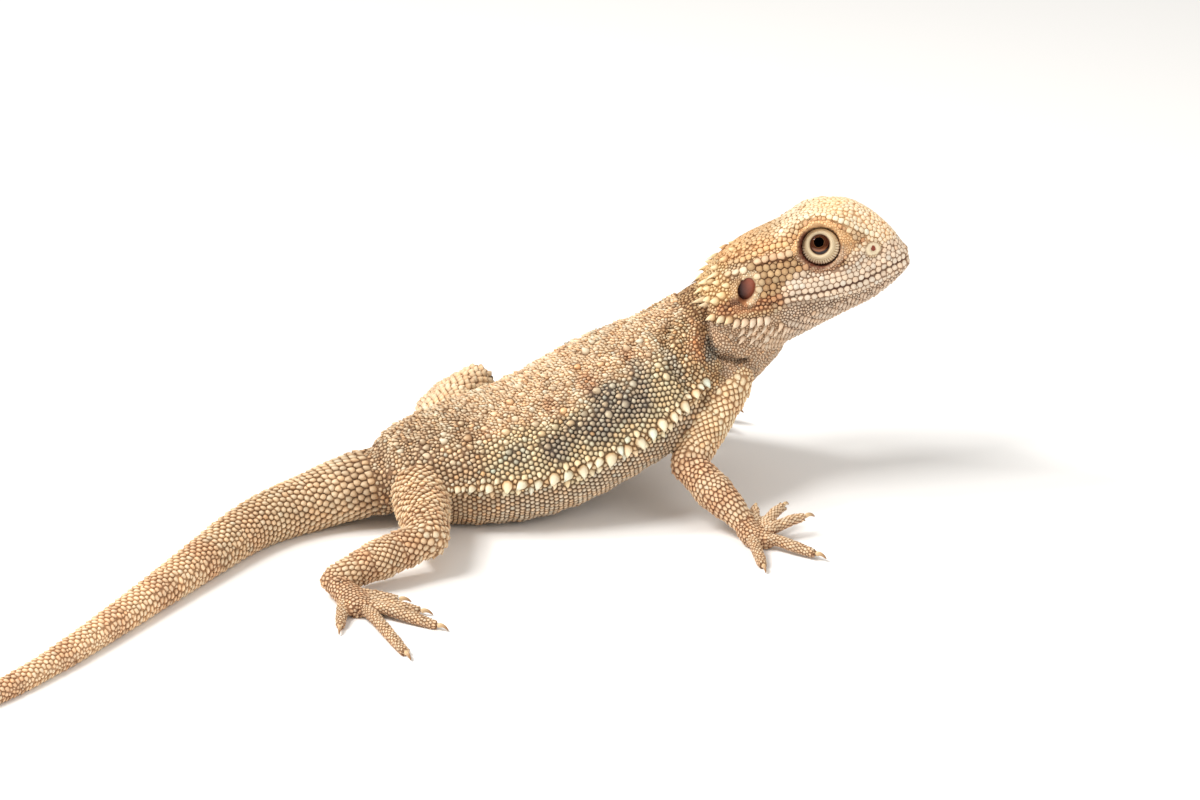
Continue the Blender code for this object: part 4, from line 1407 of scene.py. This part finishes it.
# %% Marks around the eyes and openings, and all of them together
def opening_marks(head, face, eye_ring, edge, ear):
    """Marks around the eyes, ears, nostrils and mouth, with painted shade in their hollows."""
    x, _, z = face.T
    soft = 1 - ramp(edge, 0.97, 0.06)
    yield "tan_fold", head * soft * ramp(z, 4.2, 1.4)
    yield "under_fold", head * soft * ramp(z, 5.0, -1.4)
    yield "brow", head * 0.7 * soft * ramp(x, 20.6, 1.4)
    yield "rust", head * 0.55 * band(edge, 0.98, 1.06, 0.05)
    # painted shade round the lids, stronger towards their lower back
    lower_back = smooth_step((17.6 - x + 0.5 * (4.2 - z)) / 4.0 + 0.2)
    lid_shadow = 1 - smooth_step((eye_ring - 4.0 - 0.3 * lower_back) / 0.35)
    yield "painted_shade", head * (0.45 + 0.55 * lower_back) * lid_shadow
    ridge_x, ridge_z = [8, 9.2, 12.2, 16.2, 19.0, 22.3, 24.4, 27], [8.2, 8.6, 10.1, 11.1, 10.6, 8.9, 6.9, 5.0]
    ridge = np.interp(x, ridge_x, ridge_z)
    yield "cream", head * 0.75 * bell(z, ridge, 0.6) * band(x, 8.5, 27, 1.5) * (edge > 1.0)
    yield "cream", head * 0.6 * band(ear, 1.15, 1.5, 0.3) * (x > 0)
    # painted shade inside the ear opening
    yield "painted_shade", head * (1 - ramp(ear, 0.9, 0.25))
    nose = nearer(nostril_reach, face)
    yield "cream", head * band(nose, 0.4, 1.3, 0.3)
    # painted shade in the nostril's opening
    yield "painted_shade", head * 0.5 * (1 - ramp(nose, 0.3, 0.2))
    yield "cheek", head * 0.5 * band(nose, 1.45, 1.75, 0.2)
    # painted shade along the slit of the mouth
    yield "painted_shade", head * 0.9 * (1 - ramp(nearer(mouth_reach, face), 0.22, 0.2))
    # painted shade in the pit below the ear
    ear_pit = np.hypot((x + 2.4) / 1.5, (z + 1.9) / 1.0)
    yield "painted_shade", head * 0.7 * (1 - ramp(ear_pit, 0.5, 0.6))


def crease_shade_marks(points):
    # painted shade: a dark tone laid along every cut crease of the head, neck and shoulders
    for line, width in creases:
        yield "crease_shade", 0.6 * bell(distance_to_line(points, line), 0, width)


def marks_and_shade(points, where, face):
    """Dark, middle and light tone at each point, with the painted shade in creases and hollows."""
    tones = np.tile(TONES["back"], (len(points), 1, 1))
    drift, wobble = wander(points, 5.0), wander(points, 2.4, 1.3)
    head = where.on("head") * 1.0
    eye_ring, edge, ear = from_eye_line(face), in_orbit(face), nearer(ear_reach, face)
    for marks in (
        body_marks(where, drift),
        tail_marks(where, drift),
        limb_marks(where, drift),
        head_marks(where, face, wobble),
        opening_marks(head, face, eye_ring, edge, ear),
        crease_shade_marks(points),
    ):
        for name, mask in marks:
            mask = np.clip(mask, 0, 1)[:, None, None]
            tones = tones * (1 - mask) + TONES[name] * mask
    fine = head * (np.clip(1.2 - 0.25 * (ear - 1), 0, 1) * (ear < 1.9) + (edge < 1.0) * (eye_ring > 4.3))
    tones[:, 0] += (tones[:, 1] - tones[:, 0]) * 0.5 * np.clip(fine, 0, 1)[:, None]
    tones *= (1 + 0.07 * wander(points, 1.7, 0.4) + 0.05 * wander(points, 9.0, 2.0))[:, None, None]
    return tones


def mixed(tones, level):
    """The colour at a level from 0, dark, through 1, middle, to 2, light."""
    level = np.clip(level, 0, 2)
    low, high = np.minimum(level, 1)[..., None], np.maximum(level - 1, 0)[..., None]
    dark, middle, light = (tones[:, i] for i in range(3))
    if level.ndim > 1:
        dark, middle, light = (t[:, None] for t in (dark, middle, light))
    return np.where(level[..., None] <= 1, dark + (middle - dark) * low, middle + (light - middle) * high)


def set_colours(mesh, colours):
    layer = mesh.color_attributes.new("colour", "FLOAT_COLOR", "POINT")
    values = np.ones((len(colours), 4))
    values[:, :3] = np.clip(colours, 0, 1)
    layer.data.foreach_set("color", values.ravel())


skin_tones = marks_and_shade(points, where, face)
bald = np.clip(1.2 - ear_gap, 0, 1) + (eye_gap < 4.6) + (nose_gap < 1.4) * 1.0
level = np.where(bald > 0, np.where(nose_gap < 1.4, 1.25, 0.9), 0.28)
set_colours(skin.data, mixed(skin_tones, level))
print("markings laid on", len(points), "points of the skin")

# %% [markdown]
# ## Raising the scales
# A scale is a few rings of points over its outline: a foot sunk in the skin, a rim, sometimes a
# shoulder, and a crown. Only the rings' widths, heights and lean differ from shape to shape. Thirty
# faces are plenty for something a millimetre across, and numpy makes thousands of them in one go.

# %% Profiles
def even(*half):
    """Values round a scale of eight sides from those of one half, its tip first."""
    return [*half, *half[-2:0:-1]]


KEEL_FOOT, KEEL_TOP = even(1.2, 1.0, 0.98, 0.96, 0.94), even(0.98, 0.78, 0.7, 0.72, 0.74)
PROFILES = {
    # shape: rings of (share of the outline, share of the height, lean along the lie, level of colour)
    PLATE: [(1.0, 0.5, 0.0, 0.55), (0.84, 0.93, 0.0, 1.2), (None, 1.0, 0.0, 1.5)],
    BUMP: [(0.96, 0.28, 0.0, 0.4), (0.68, 0.84, 0.08, 1.2), (None, 1.0, 0.25, 1.75)],
    KEEL: [
        (KEEL_FOOT, even(0.9, 0.55, 0.32, 0.14, 0.05), 0.0, even(0.9, 0.6, 0.5, 0.45, 0.4)),
        (KEEL_TOP, even(1.15, 0.76, 0.58, 0.44, 0.32), 0.04, even(1.5, 1.2, 1.1, 1.05, 1.0)),
        (None, 1.0, 0.16, 1.6),
    ],
    CONE: [(0.98, 0.16, 0.0, 0.45), (0.74, 0.5, 0.14, 1.15), (0.34, 0.84, 0.55, 1.7), (None, 1.0, 1.0, 1.95)],
    GRANULE: [(0.94, 0.42, 0.0, 0.5), (0.7, 0.9, 0.0, 1.2), (None, 1.0, 0.0, 1.5)],
}
SIDES = {PLATE: 12, BUMP: 8, KEEL: 8, CONE: 8, GRANULE: 6}
FOOT_DEPTH, LOWEST_SCALE, PATCH = 0.22, 0.02, 0.0015
GAP_SHARE = {PLATE: 0.97, BUMP: 0.96, KEEL: 0.97, CONE: 0.98, GRANULE: 0.96}
seed_tones = marks_and_shade(place, seed_where, seed_face)
speckle = random.normal(0, 0.1, len(place)) * (1 + 1.2 * seed_where.on("body") * (seed_where.angle > 30))
warmth = random.normal(0, 0.035, len(place)) * (1 + 0.8 * seed_where.on("body"))
skin_uv = np.empty(len(skin.data.loops) * 2)
skin.data.uv_layers["OFBake"].data.foreach_get("uv", skin_uv)
skin_uv = skin_uv.reshape(-1, 2)
face_start = np.empty(len(skin.data.polygons), int)
skin.data.polygons.foreach_get("loop_start", face_start)
root_uv = (skin_uv[face_start[root_face]] + skin_uv[face_start[root_face] + 2]) / 2


print("seeds coloured:", len(seed_tones))


# %% Raise the scales
def raise_scales(chosen, shape):
    """Points, faces, colours and bake places of the chosen seeds, all of one shape."""
    sides = SIDES[shape]
    profile = PROFILES[shape]
    reach = (outline(sides)[chosen] * GAP_SHARE[shape])[:, :, None]
    turns = 2 * math.pi * np.arange(sides) / sides
    spot, up, tail_way, side_way = (field[chosen][:, None] for field in (place, normal, lie, beside))
    spread = tail_way * np.cos(turns)[None, :, None] + side_way * np.sin(turns)[None, :, None]
    rise, lean = height[chosen][:, None, None], tip[chosen][:, None, None]
    pull = np.where(lean > 0, lean, radius[chosen][:, None, None])
    rings = [spot + spread * reach - up * FOOT_DEPTH]
    levels = [np.zeros((len(chosen), sides))]
    for share, lift, ahead, level in profile[:-1]:
        share, lift, level = (np.broadcast_to(value, sides) for value in (share, lift, level))
        share, lift = share[None, :, None], lift[None, :, None]
        rings.append(spot + spread * reach * share + up * rise * lift + tail_way * (ahead * pull))
        levels.append(np.repeat(level[None], len(chosen), axis=0))
    _, lift, ahead, level = profile[-1]
    rings.append(spot + up * rise * lift + tail_way * ahead * pull)
    levels.append(np.full((len(chosen), 1), level))
    verts = np.concatenate(rings, axis=1)
    verts[:, :, 2] = np.maximum(verts[:, :, 2], LOWEST_SCALE)
    level = np.concatenate(levels, axis=1)
    level = level + (tone[chosen] * 0.45)[:, None] * (level > 0.3)
    colours = mixed(seed_tones[chosen], level + speckle[chosen][:, None])
    colours = colours * (1 + warmth[chosen][:, None, None] * np.array((1.0, 0.0, -1.0)))
    local = verts - spot
    flat = np.stack([(local * tail_way).sum(2), (local * side_way).sum(2)], axis=2)
    uv = root_uv[chosen][:, None] + np.clip(flat / (1.5 * radius[chosen])[:, None, None], -1, 1) * PATCH
    per_scale = verts.shape[1]
    faces = [list(range(sides))[::-1]]
    for ring in range(len(profile) - 1):
        low, high = ring * sides, (ring + 1) * sides
        faces += [[low + k, low + (k + 1) % sides, high + (k + 1) % sides, high + k] for k in range(sides)]
    crown, last = per_scale - 1, per_scale - 1 - sides
    faces += [[last + k, last + (k + 1) % sides, crown] for k in range(sides)]
    return verts.reshape(-1, 3), faces, per_scale, colours.reshape(-1, 3), uv.reshape(-1, 2)


def mesh_of(name, verts, loops, starts):
    mesh = bpy.data.meshes.new(name)
    mesh.vertices.add(len(verts))
    mesh.vertices.foreach_set("co", to_model(verts).ravel())
    mesh.loops.add(len(loops))
    mesh.loops.foreach_set("vertex_index", loops)
    mesh.polygons.add(len(starts))
    mesh.polygons.foreach_set("loop_start", starts)
    mesh.update(calc_edges=True)
    mesh.shade_smooth()
    return mesh


print("points in a scale of each shape:", [len(PROFILES[kind]) * SIDES[kind] + 1 for kind in PROFILES])


# %% One named piece of the coat
def in_scene(name, data):
    """A new object in the scene from the given mesh, lamp or camera."""
    obj = bpy.data.objects.new(name, data)
    bpy.context.scene.collection.objects.link(obj)
    return obj


def scales_piece(name, chosen):
    """One named piece of the coat, with every shape of scale that grows there."""
    verts, loops, starts, colours, uvs = [], [], [], [], []
    first_vert = first_loop = 0
    for shape_kind in PROFILES:
        some = chosen[shape[chosen] == shape_kind]
        if not len(some):
            continue
        v, faces, per_scale, c, uv = raise_scales(some, shape_kind)
        pattern = np.concatenate([np.array(f) for f in faces])
        lengths = np.array([len(f) for f in faces])
        begins = np.concatenate([[0], np.cumsum(lengths)[:-1]])
        scale_number = np.arange(len(some))[:, None]
        loop = (pattern[None] + per_scale * scale_number).ravel() + first_vert
        loops.append(loop)
        starts.append((begins[None] + len(pattern) * scale_number).ravel() + first_loop)
        verts.append(v)
        colours.append(c)
        uvs.append(uv)
        first_vert += len(v)
        first_loop += len(loop)
    verts, loops, starts, colours, uvs = (np.concatenate(x) for x in (verts, loops, starts, colours, uvs))
    mesh = mesh_of(name, verts, loops, starts)
    set_colours(mesh, colours)
    mesh.uv_layers.new(name="OFBake").data.foreach_set("uv", uvs[loops].ravel())
    triangles = sum(len(p.vertices) - 2 for p in mesh.polygons)
    print(f"{name}: {len(chosen)} scales, {triangles} triangles")
    return in_scene(name, mesh)


# %% The coat, piece by piece
head_here, body_here = seed_where.on("head"), seed_where.on("body")
on_jaw = head_here & (seed_face[:, 2] < -5.4)
right = seed_where.across < 0
neck_here = body_here & (seed_where.along > 66)
trunk_here = body_here & ~neck_here
COAT_PIECES = {
    "scales_head": head_here & ~on_jaw,
    "scales_throat": on_jaw,
    "scales_neck": neck_here,
    "scales_back": trunk_here & (seed_where.angle > 42),
    "scales_right_side": trunk_here & (seed_where.angle <= 42) & (seed_where.angle > -2) & right,
    "scales_left_side": trunk_here & (seed_where.angle <= 42) & (seed_where.angle > -2) & ~right,
    "scales_belly": trunk_here & (seed_where.angle <= -2),
    "scales_tail": seed_where.on("tail"),
    **{f"scales_{name}": seed_where.on(name) for name in LIMBS},
}
coat_pieces = [scales_piece(name, np.flatnonzero(mask)) for name, mask in COAT_PIECES.items()]

# %% [markdown]
# ## Eyes, lids and eardrums
# Each eye is a ball that looks out and a little up. Two numbers stored on its points, the distance
# from the line of sight and how far below it they lie, let one material draw the round pupil, the thin
# gold ring and the iris, copper below and painted darker above as the upper lid's shade, with a
# near-black ring round it. The lids are one thick round collar, as on the real animal, ringed with
# small radial plates.

# %% Eyes
def look_rotation(side):
    direction = Vector(HEAD_AXES @ eye_axis(side, EYE_SIGHT))
    return direction.to_track_quat("Z", "X").to_euler()


def ball(name, place, radii, rotation, segments=64, rings=48):
    bpy.ops.object.select_all(action="DESELECT")
    bpy.ops.mesh.primitive_uv_sphere_add(
        segments=segments, ring_count=rings, radius=1.0, location=to_model(place), rotation=rotation
    )
    obj = bpy.context.object
    obj.name = obj.data.name = name
    obj.scale = [r * MM for r in radii]
    bpy.ops.object.transform_apply(location=True, rotation=True, scale=True)
    obj.data.shade_smooth()
    return obj


DRUM_SHADED, DRUM_LIT = linear((46, 16, 12)), linear((158, 88, 66))
DRUM_OUT, DRUM_RADII = 10.2, (1.85, 0.5, 2.7)
SIDE_NAMES = ((-1, "right"), (1, "left"))
eyes, drums = [], []
for side, label in SIDE_NAMES:
    eye_place = from_head(on_side(EYE_SET, side))
    eye = ball(f"eyeball_{label}", eye_place, (EYE_RADIUS,) * 3, look_rotation(side))
    offset = (read_points(eye) - eye_place) @ HEAD_AXES
    look = eye_axis(side, EYE_SIGHT)
    out = offset @ look
    from_sight = np.linalg.norm(offset - out[:, None] * look, axis=1)
    below = -(offset @ unit(np.array((0, 0, 1)) - look * look[2]))
    for name, values in (("from_sight", np.where(out > 0, from_sight, EYE_RADIUS)), ("below_sight", below)):
        stored = eye.data.attributes.new(name, "FLOAT", "POINT")
        stored.data.foreach_set("value", values / EYE_RADIUS)
    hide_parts(f"{label}_eye")
    eyes.append(eye)
    tilt = (head_turn @ rotation_about("Y", EAR_TILT)).to_euler()
    drum_place = from_head((EAR_CENTRE[0], side * DRUM_OUT, EAR_CENTRE[2]))
    drum = ball(f"eardrum_{label}_disc", drum_place, DRUM_RADII, tilt, 32, 20)
    # painted shade: the drum is dark at its rear, where the ear's rear wall shades it, and lighter towards
    # the front
    lit_share = smooth_step((to_head(read_points(drum))[:, 0] - EAR_CENTRE[0] + 1.5) / 3.0)[:, None]
    set_colours(drum.data, DRUM_SHADED + (DRUM_LIT - DRUM_SHADED) * lit_share)
    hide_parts(f"{label}_eardrum")
    drums.append(drum)
print("eyes and eardrums:", [o.name for o in eyes + drums])

# %% Nostrils
SLIT_TILT, SLIT_RADII = 16, (0.5, 0.2, 0.8)
nostrils = []
for side, label in SIDE_NAMES:
    place, normal = hit_head(NOSTRIL[0], NOSTRIL[2], side)
    facing = Vector(normal).to_track_quat("Y", "Z").to_matrix().to_4x4()
    slit_turn = (facing @ rotation_about("Y", SLIT_TILT)).to_euler()
    slit = ball(f"nostril_{label}", place + 0.02 * normal, SLIT_RADII, slit_turn, 20, 12)
    # painted shade: the slit's dark red stands for the shade inside the opening, darkest where it stands out
    # of the skin
    rise = (read_points(slit) - place) @ normal
    slit_shade_tones = np.tile(TONES["nostril"], (len(rise), 1, 1))
    set_colours(slit.data, mixed(slit_shade_tones, np.clip(1.6 - 4.0 * rise, 0, 2)))
    nostrils.append(slit)
print("nostrils:", [slit.name for slit in nostrils])

# %% Lids: a collar with radial plates
LID_OPEN, LID_EDGE, LID_RAISE = 32.5, 64.0, 8.0
LID_TURNS, LID_RINGS = 216, 30
LASH_PLATES, LID_THICKNESS = 40, 0.5


def lid_profile(share):
    """Distance from the eye's centre across the collar, from its opening out to its edge."""
    return 3.64 + 0.52 * ramp(share, 0, 0.2) + 0.1 * np.sin(np.pi * share) - 0.4 * ramp(share, 0.84, 0.16)


def make_lids(side, label):
    turn, share = np.meshgrid(np.arange(LID_TURNS) / LID_TURNS * 2 * np.pi, np.linspace(0, 1, LID_RINGS))
    look = eye_axis(side)
    across = unit(np.cross(look, (0, 0, 1)))
    upward = np.cross(across, look)
    opened = LID_OPEN + LID_RAISE * np.sin(turn) - 0.8 * np.cos(2 * turn)
    angle = np.radians(opened + (LID_EDGE + 3.0 * np.cos(2 * turn) - opened) * share)
    # the lower lid carries a fringe of small upright plates, the upper only fine wrinkles
    lower = ramp(np.sin(turn), 0.35, -0.45)
    upright = np.abs(np.sin(LASH_PLATES * turn / 2)) ** 0.6
    teeth = band(share, 0.50, 0.88, 0.06) * upright * lower
    between = band(share, 0.50, 0.88, 0.05) * lower * (1 - upright)
    wrinkles = band(share, 0.25, 0.8, 0.1) * np.sin(share * 46 + 1.5 * np.sin(turn * 2))
    reach = lid_profile(share) + 0.17 * teeth + 0.022 * wrinkles - 0.06 * band(share, 0.5, 0.56, 0.04) * lower
    outward = across * np.cos(turn)[..., None] + upward * np.sin(turn)[..., None]
    direction = look * np.cos(angle)[..., None] + outward * np.sin(angle)[..., None]
    centre = on_side(EYE_SET, side)
    outer = centre + direction * reach[..., None]
    inner = centre + direction * (lid_profile(share) - LID_THICKNESS)[..., None]
    shell = np.concatenate([outer, inner[::-1]])
    rows, columns = shell.shape[:2]
    index = np.arange(rows * columns).reshape(rows, columns)
    right_index, below = np.roll(index, -1, axis=1), np.roll(index, -1, axis=0)
    quads = np.stack([index, right_index, np.roll(right_index, -1, axis=0), below], axis=-1).reshape(-1, 4)
    if side > 0:
        quads = quads[:, ::-1]
    mesh = mesh_of(f"lids_{label}", from_head(shell.reshape(-1, 3)), quads.ravel(), np.arange(len(quads)) * 4)
    level = 1.0 + teeth - between + 0.1 * wrinkles
    level += 0.25 * band(share, 0.08, 0.3, 0.1)
    level -= 0.5 * band(share, 0.5, 0.55, 0.03) * lower
    # painted shade: the collar darkens at its outer edge against the skin and at its inner edge against the
    # eye
    level -= ramp(share, 0.84, 0.08)
    level -= 0.9 * (1 - ramp(share, 0.03, 0.07))
    colour = mixed(np.tile(TONES["lid"], (level.size, 1, 1)), level.reshape(-1)).reshape(*level.shape, 3)
    # painted shade on the rims: the inner rim all round, the outer rim more on its lower side
    shaded = 0.6 - 0.4 * np.sin(turn - 0.7 * side)
    rim_shade = np.maximum(1 - ramp(share, 0, 0.07), shaded * ramp(share, 0.9, 0.08))[..., None]
    colour = colour * (1 - rim_shade) + TONES["painted_shade"][0] * 0.7 * rim_shade
    # the inner face of the collar, towards the eyeball, is painted at 0.4 as shade
    set_colours(mesh, np.concatenate([colour, colour[::-1] * 0.4]).reshape(-1, 3))
    return in_scene(f"lids_{label}", mesh)


lids = [make_lids(side, label) for side, label in SIDE_NAMES]
print("lids:", [len(lid.data.polygons) for lid in lids], "faces")

# %% [markdown]
# ## Claws
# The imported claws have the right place, length and hook, only with flat sides. So they are copied,
# welded and subdivided, which keeps their shape and rounds them into horn.

# %% Round the claws
CLAWS = [name for name in frame["nodes"] if "claw" in name]
claws = joined("claws", [copy_of(name) for name in CLAWS])
edit_all(claws, WELD)
rounding = claws.modifiers.new("rounding", "SUBSURF")
rounding.levels = rounding.render_levels = 2
select_only(claws)
bpy.ops.object.modifier_apply(modifier=rounding.name)
claws.data.shade_smooth()
claw_points = read_points(claws)
claw_where = Places(claw_points)
toe_length = np.array([axis.length for axis in AXES])[claw_where.part]
to_tip = np.clip((claw_where.along - toe_length) / 2.6, 0, 1)
HORN_BASE, HORN_TIP = linear((222, 190, 146)), linear((150, 108, 72))
set_colours(claws.data, HORN_BASE + (HORN_TIP - HORN_BASE) * smooth_step(to_tip * 1.1 - 0.15)[:, None])
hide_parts(*CLAWS)
print("claws:", len(CLAWS), "in one piece of", len(claws.data.polygons), "faces")

# %% [markdown]
# ## Finishes
# Reptile skin is dry: a satin surface with fine pores, and scales a little glossier than the skin
# between them. All of it is read from the pieces' own colours and from noise in place, so that the
# finish stays put from every side.

# %% Materials
def new_material(name, roughness, coat_weight=0.0, coat_roughness=0.1):
    material = bpy.data.materials.new(name)
    material.use_nodes = True
    tree = material.node_tree
    shader = tree.nodes["Principled BSDF"]
    shader.inputs["Roughness"].default_value = roughness
    shader.inputs["Coat Weight"].default_value = coat_weight
    shader.inputs["Coat Roughness"].default_value = coat_roughness
    return material, tree, shader


def add_node(tree, kind, **values):
    node = tree.nodes.new(kind)
    for key, value in values.items():
        if key in node.inputs:
            node.inputs[key].default_value = value
        else:
            setattr(node, key, value)
    return node


def scaly_material(name, roughness, grain_size, bump, mottle):
    """Stored colour, mottled a little, with pores as bump and in the roughness."""
    material, tree, shader = new_material(name, roughness)
    link = tree.links.new
    place_node = add_node(tree, "ShaderNodeTexCoord")
    stored = add_node(tree, "ShaderNodeVertexColor", layer_name="colour")
    blotch = add_node(tree, "ShaderNodeTexNoise", Scale=900.0, Detail=3.0)
    link(place_node.outputs["Object"], blotch.inputs["Vector"])
    shade = add_node(tree, "ShaderNodeMapRange", **{"To Min": 1 - mottle, "To Max": 1 + mottle})
    link(blotch.outputs["Fac"], shade.inputs["Value"])
    tint = add_node(tree, "ShaderNodeVectorMath", operation="SCALE")
    link(stored.outputs["Color"], tint.inputs[0])
    link(shade.outputs["Result"], tint.inputs["Scale"])
    link(tint.outputs["Vector"], shader.inputs["Base Color"])
    pores = add_node(tree, "ShaderNodeTexNoise", Scale=1000.0 / grain_size, Detail=2.0)
    link(place_node.outputs["Object"], pores.inputs["Vector"])
    rough = add_node(tree, "ShaderNodeMapRange", **{"To Min": roughness - 0.1, "To Max": roughness + 0.12})
    link(pores.outputs["Fac"], rough.inputs["Value"])
    link(rough.outputs["Result"], shader.inputs["Roughness"])
    relief = add_node(tree, "ShaderNodeBump", Strength=bump, Distance=0.00006)
    link(pores.outputs["Fac"], relief.inputs["Height"])
    link(relief.outputs["Normal"], shader.inputs["Normal"])
    return material


skin_material = scaly_material("soft_skin", 0.66, 0.22, 0.6, 0.16)
scale_material = scaly_material("dry_scales", 0.5, 0.16, 0.35, 0.1)
lid_material = scaly_material("lid_skin", 0.46, 0.14, 0.3, 0.06)
claw_material = scaly_material("claw_horn", 0.3, 0.3, 0.15, 0.08)
for piece in coat_pieces:
    piece.data.materials.append(scale_material)
skin.data.materials.append(skin_material)
claws.data.materials.append(claw_material)
for piece in lids + nostrils:
    piece.data.materials.append(lid_material)

print("pieces of skin and scale dressed:", len(coat_pieces) + len(lids) + len(nostrils) + 2)


# %% The wet eye and the eardrum
def colour_stops(tree, stops):
    node = add_node(tree, "ShaderNodeValToRGB")
    while len(node.color_ramp.elements) < len(stops):
        node.color_ramp.elements.new(0.5)
    for stop, (position, colour) in zip(node.color_ramp.elements, stops):
        stop.position, stop.color = position, (*linear(colour), 1.0)
    return node


eye_material, tree, shader = new_material("wet_eye", 0.12, 0.8, 0.02)
shader.inputs["Specular IOR Level"].default_value = 0.0
link = tree.links.new
ring = add_node(tree, "ShaderNodeAttribute", attribute_name="from_sight")
place_node = add_node(tree, "ShaderNodeTexCoord")
fibres = add_node(tree, "ShaderNodeTexNoise", Scale=2600.0, Detail=3.0)
link(place_node.outputs["Object"], fibres.inputs["Vector"])
wobble = add_node(tree, "ShaderNodeMath", operation="MULTIPLY_ADD")
wobble.inputs[1].default_value = 0.03
link(fibres.outputs["Fac"], wobble.inputs[0])
link(ring.outputs["Fac"], wobble.inputs[2])
# Distance from the line of sight as a share of the eyeball's radius, and the tone there
PUPIL = [(0.0, (3, 2, 2)), (0.306, (4, 3, 3)), (0.318, (104, 66, 40))]
# beyond the iris a near-black ring: partly the eye's dark limbus, partly painted shade under the lids
RIM = [(0.64, (14, 7, 5)), (1.0, (10, 5, 4))]
# above the pupil the iris is painted darker, as the upper lid's shade
SHADED_IRIS = [
    *PUPIL, (0.328, (116, 74, 46)), (0.342, (44, 22, 14)), (0.42, (84, 46, 29)),
    (0.47, (46, 22, 14)), (0.53, (88, 48, 30)), (0.565, (30, 13, 9)), *RIM,
]
COPPER_IRIS = [
    *PUPIL, (0.328, (130, 86, 54)), (0.346, (72, 38, 23)), (0.43, (120, 72, 44)),
    (0.50, (166, 106, 68)), (0.535, (104, 58, 34)), (0.57, (34, 15, 10)), *RIM,
]
dark, copper = colour_stops(tree, SHADED_IRIS), colour_stops(tree, COPPER_IRIS)
# the darker, shaded iris above the line of sight blends into the copper one below it
below = add_node(tree, "ShaderNodeAttribute", attribute_name="below_sight")
share = add_node(tree, "ShaderNodeMapRange", **{"From Min": 0.22, "From Max": 0.5})
link(below.outputs["Fac"], share.inputs["Value"])
blend = add_node(tree, "ShaderNodeMix", data_type="RGBA")
link(share.outputs["Result"], blend.inputs["Factor"])
for number, iris in ((6, dark), (7, copper)):
    link(wobble.outputs["Value"], iris.inputs["Fac"])
    link(iris.outputs["Color"], blend.inputs[number])
link(blend.outputs[2], shader.inputs["Base Color"])

drum_material = scaly_material("eardrum_skin", 0.42, 0.3, 0.2, 0.25)
for eye, drum in zip(eyes, drums):
    eye.data.materials.append(eye_material)
    drum.data.materials.append(drum_material)
finishes = (skin_material, scale_material, lid_material, claw_material, eye_material, drum_material)
print("materials:", [material.name for material in finishes])

# %% Everything rides on the one still body
for piece in [skin, *coat_pieces, *eyes, *drums, *nostrils, *lids, claws]:
    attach(piece, "root")

# %% [markdown]
# ## Floor, light and camera
# A pale floor under soft studio light: a wide lamp high on the left, a small one beside it that is
# seen as a spot in the eye, a weaker one on the right to open the shadows, and a bright surround. The
# camera looks down a little from the animal's right side with a long lens.

# %% Floor and surround
FLOOR_SIZE = 8.0
bpy.ops.object.select_all(action="DESELECT")
bpy.ops.mesh.primitive_plane_add(size=FLOOR_SIZE, location=(0, 0, 0))
floor = bpy.context.object
floor.name = "studio_floor"
floor_material, tree, shader = new_material("pale_floor", 0.85)
shader.inputs["Base Color"].default_value = (0.93, 0.915, 0.89, 1)
floor.data.materials.append(floor_material)

world = bpy.data.worlds.new("bright_surround")
bpy.context.scene.world = world
world.use_nodes = True
background = world.node_tree.nodes["Background"]
background.inputs["Color"].default_value = (1.0, 0.985, 0.96, 1)
background.inputs["Strength"].default_value = 0.6
world.cycles_visibility.glossy = False
bpy.context.scene.view_settings.view_transform = "Standard"
print("floor:", floor.name, "surround:", world.name)


# %% Lamps and camera
def soft_lamp(name, place, size, watts, seen_in_eyes=True):
    data = bpy.data.lights.new(name, "AREA")
    data.energy, data.size = watts, size
    lamp = in_scene(name, data)
    lamp.location = place
    lamp.rotation_euler = (Vector((0, 0, 0.02)) - Vector(place)).to_track_quat("-Z", "Y").to_euler()
    lamp.visible_glossy = seen_in_eyes


soft_lamp("key_light", (-0.42, -0.2, 0.75), 0.3, 5.4, seen_in_eyes=False)
soft_lamp("catch_light", (-0.568, 0.06, 0.676), 0.17, 3.6)
soft_lamp("fill_light", (0.6, -0.5, 0.5), 0.6, 2.2, seen_in_eyes=False)

AIM = Vector(to_model((0, 0, 17.4)))
CAMERA_ELEVATION, CAMERA_DISTANCE = math.radians(21.0), 0.65
camera_data = bpy.data.cameras.new("camera")
camera_data.lens, camera_data.sensor_width = 93.6, 36.0
camera_data.clip_start = 0.01
camera = in_scene("camera", camera_data)
back = Vector((0, -math.cos(CAMERA_ELEVATION), math.sin(CAMERA_ELEVATION)))
camera.location = AIM + back * CAMERA_DISTANCE
camera.rotation_euler = (-back).to_track_quat("-Z", "Y").to_euler()
bpy.context.scene.camera = camera
print("camera at", [round(value, 3) for value in camera.location])
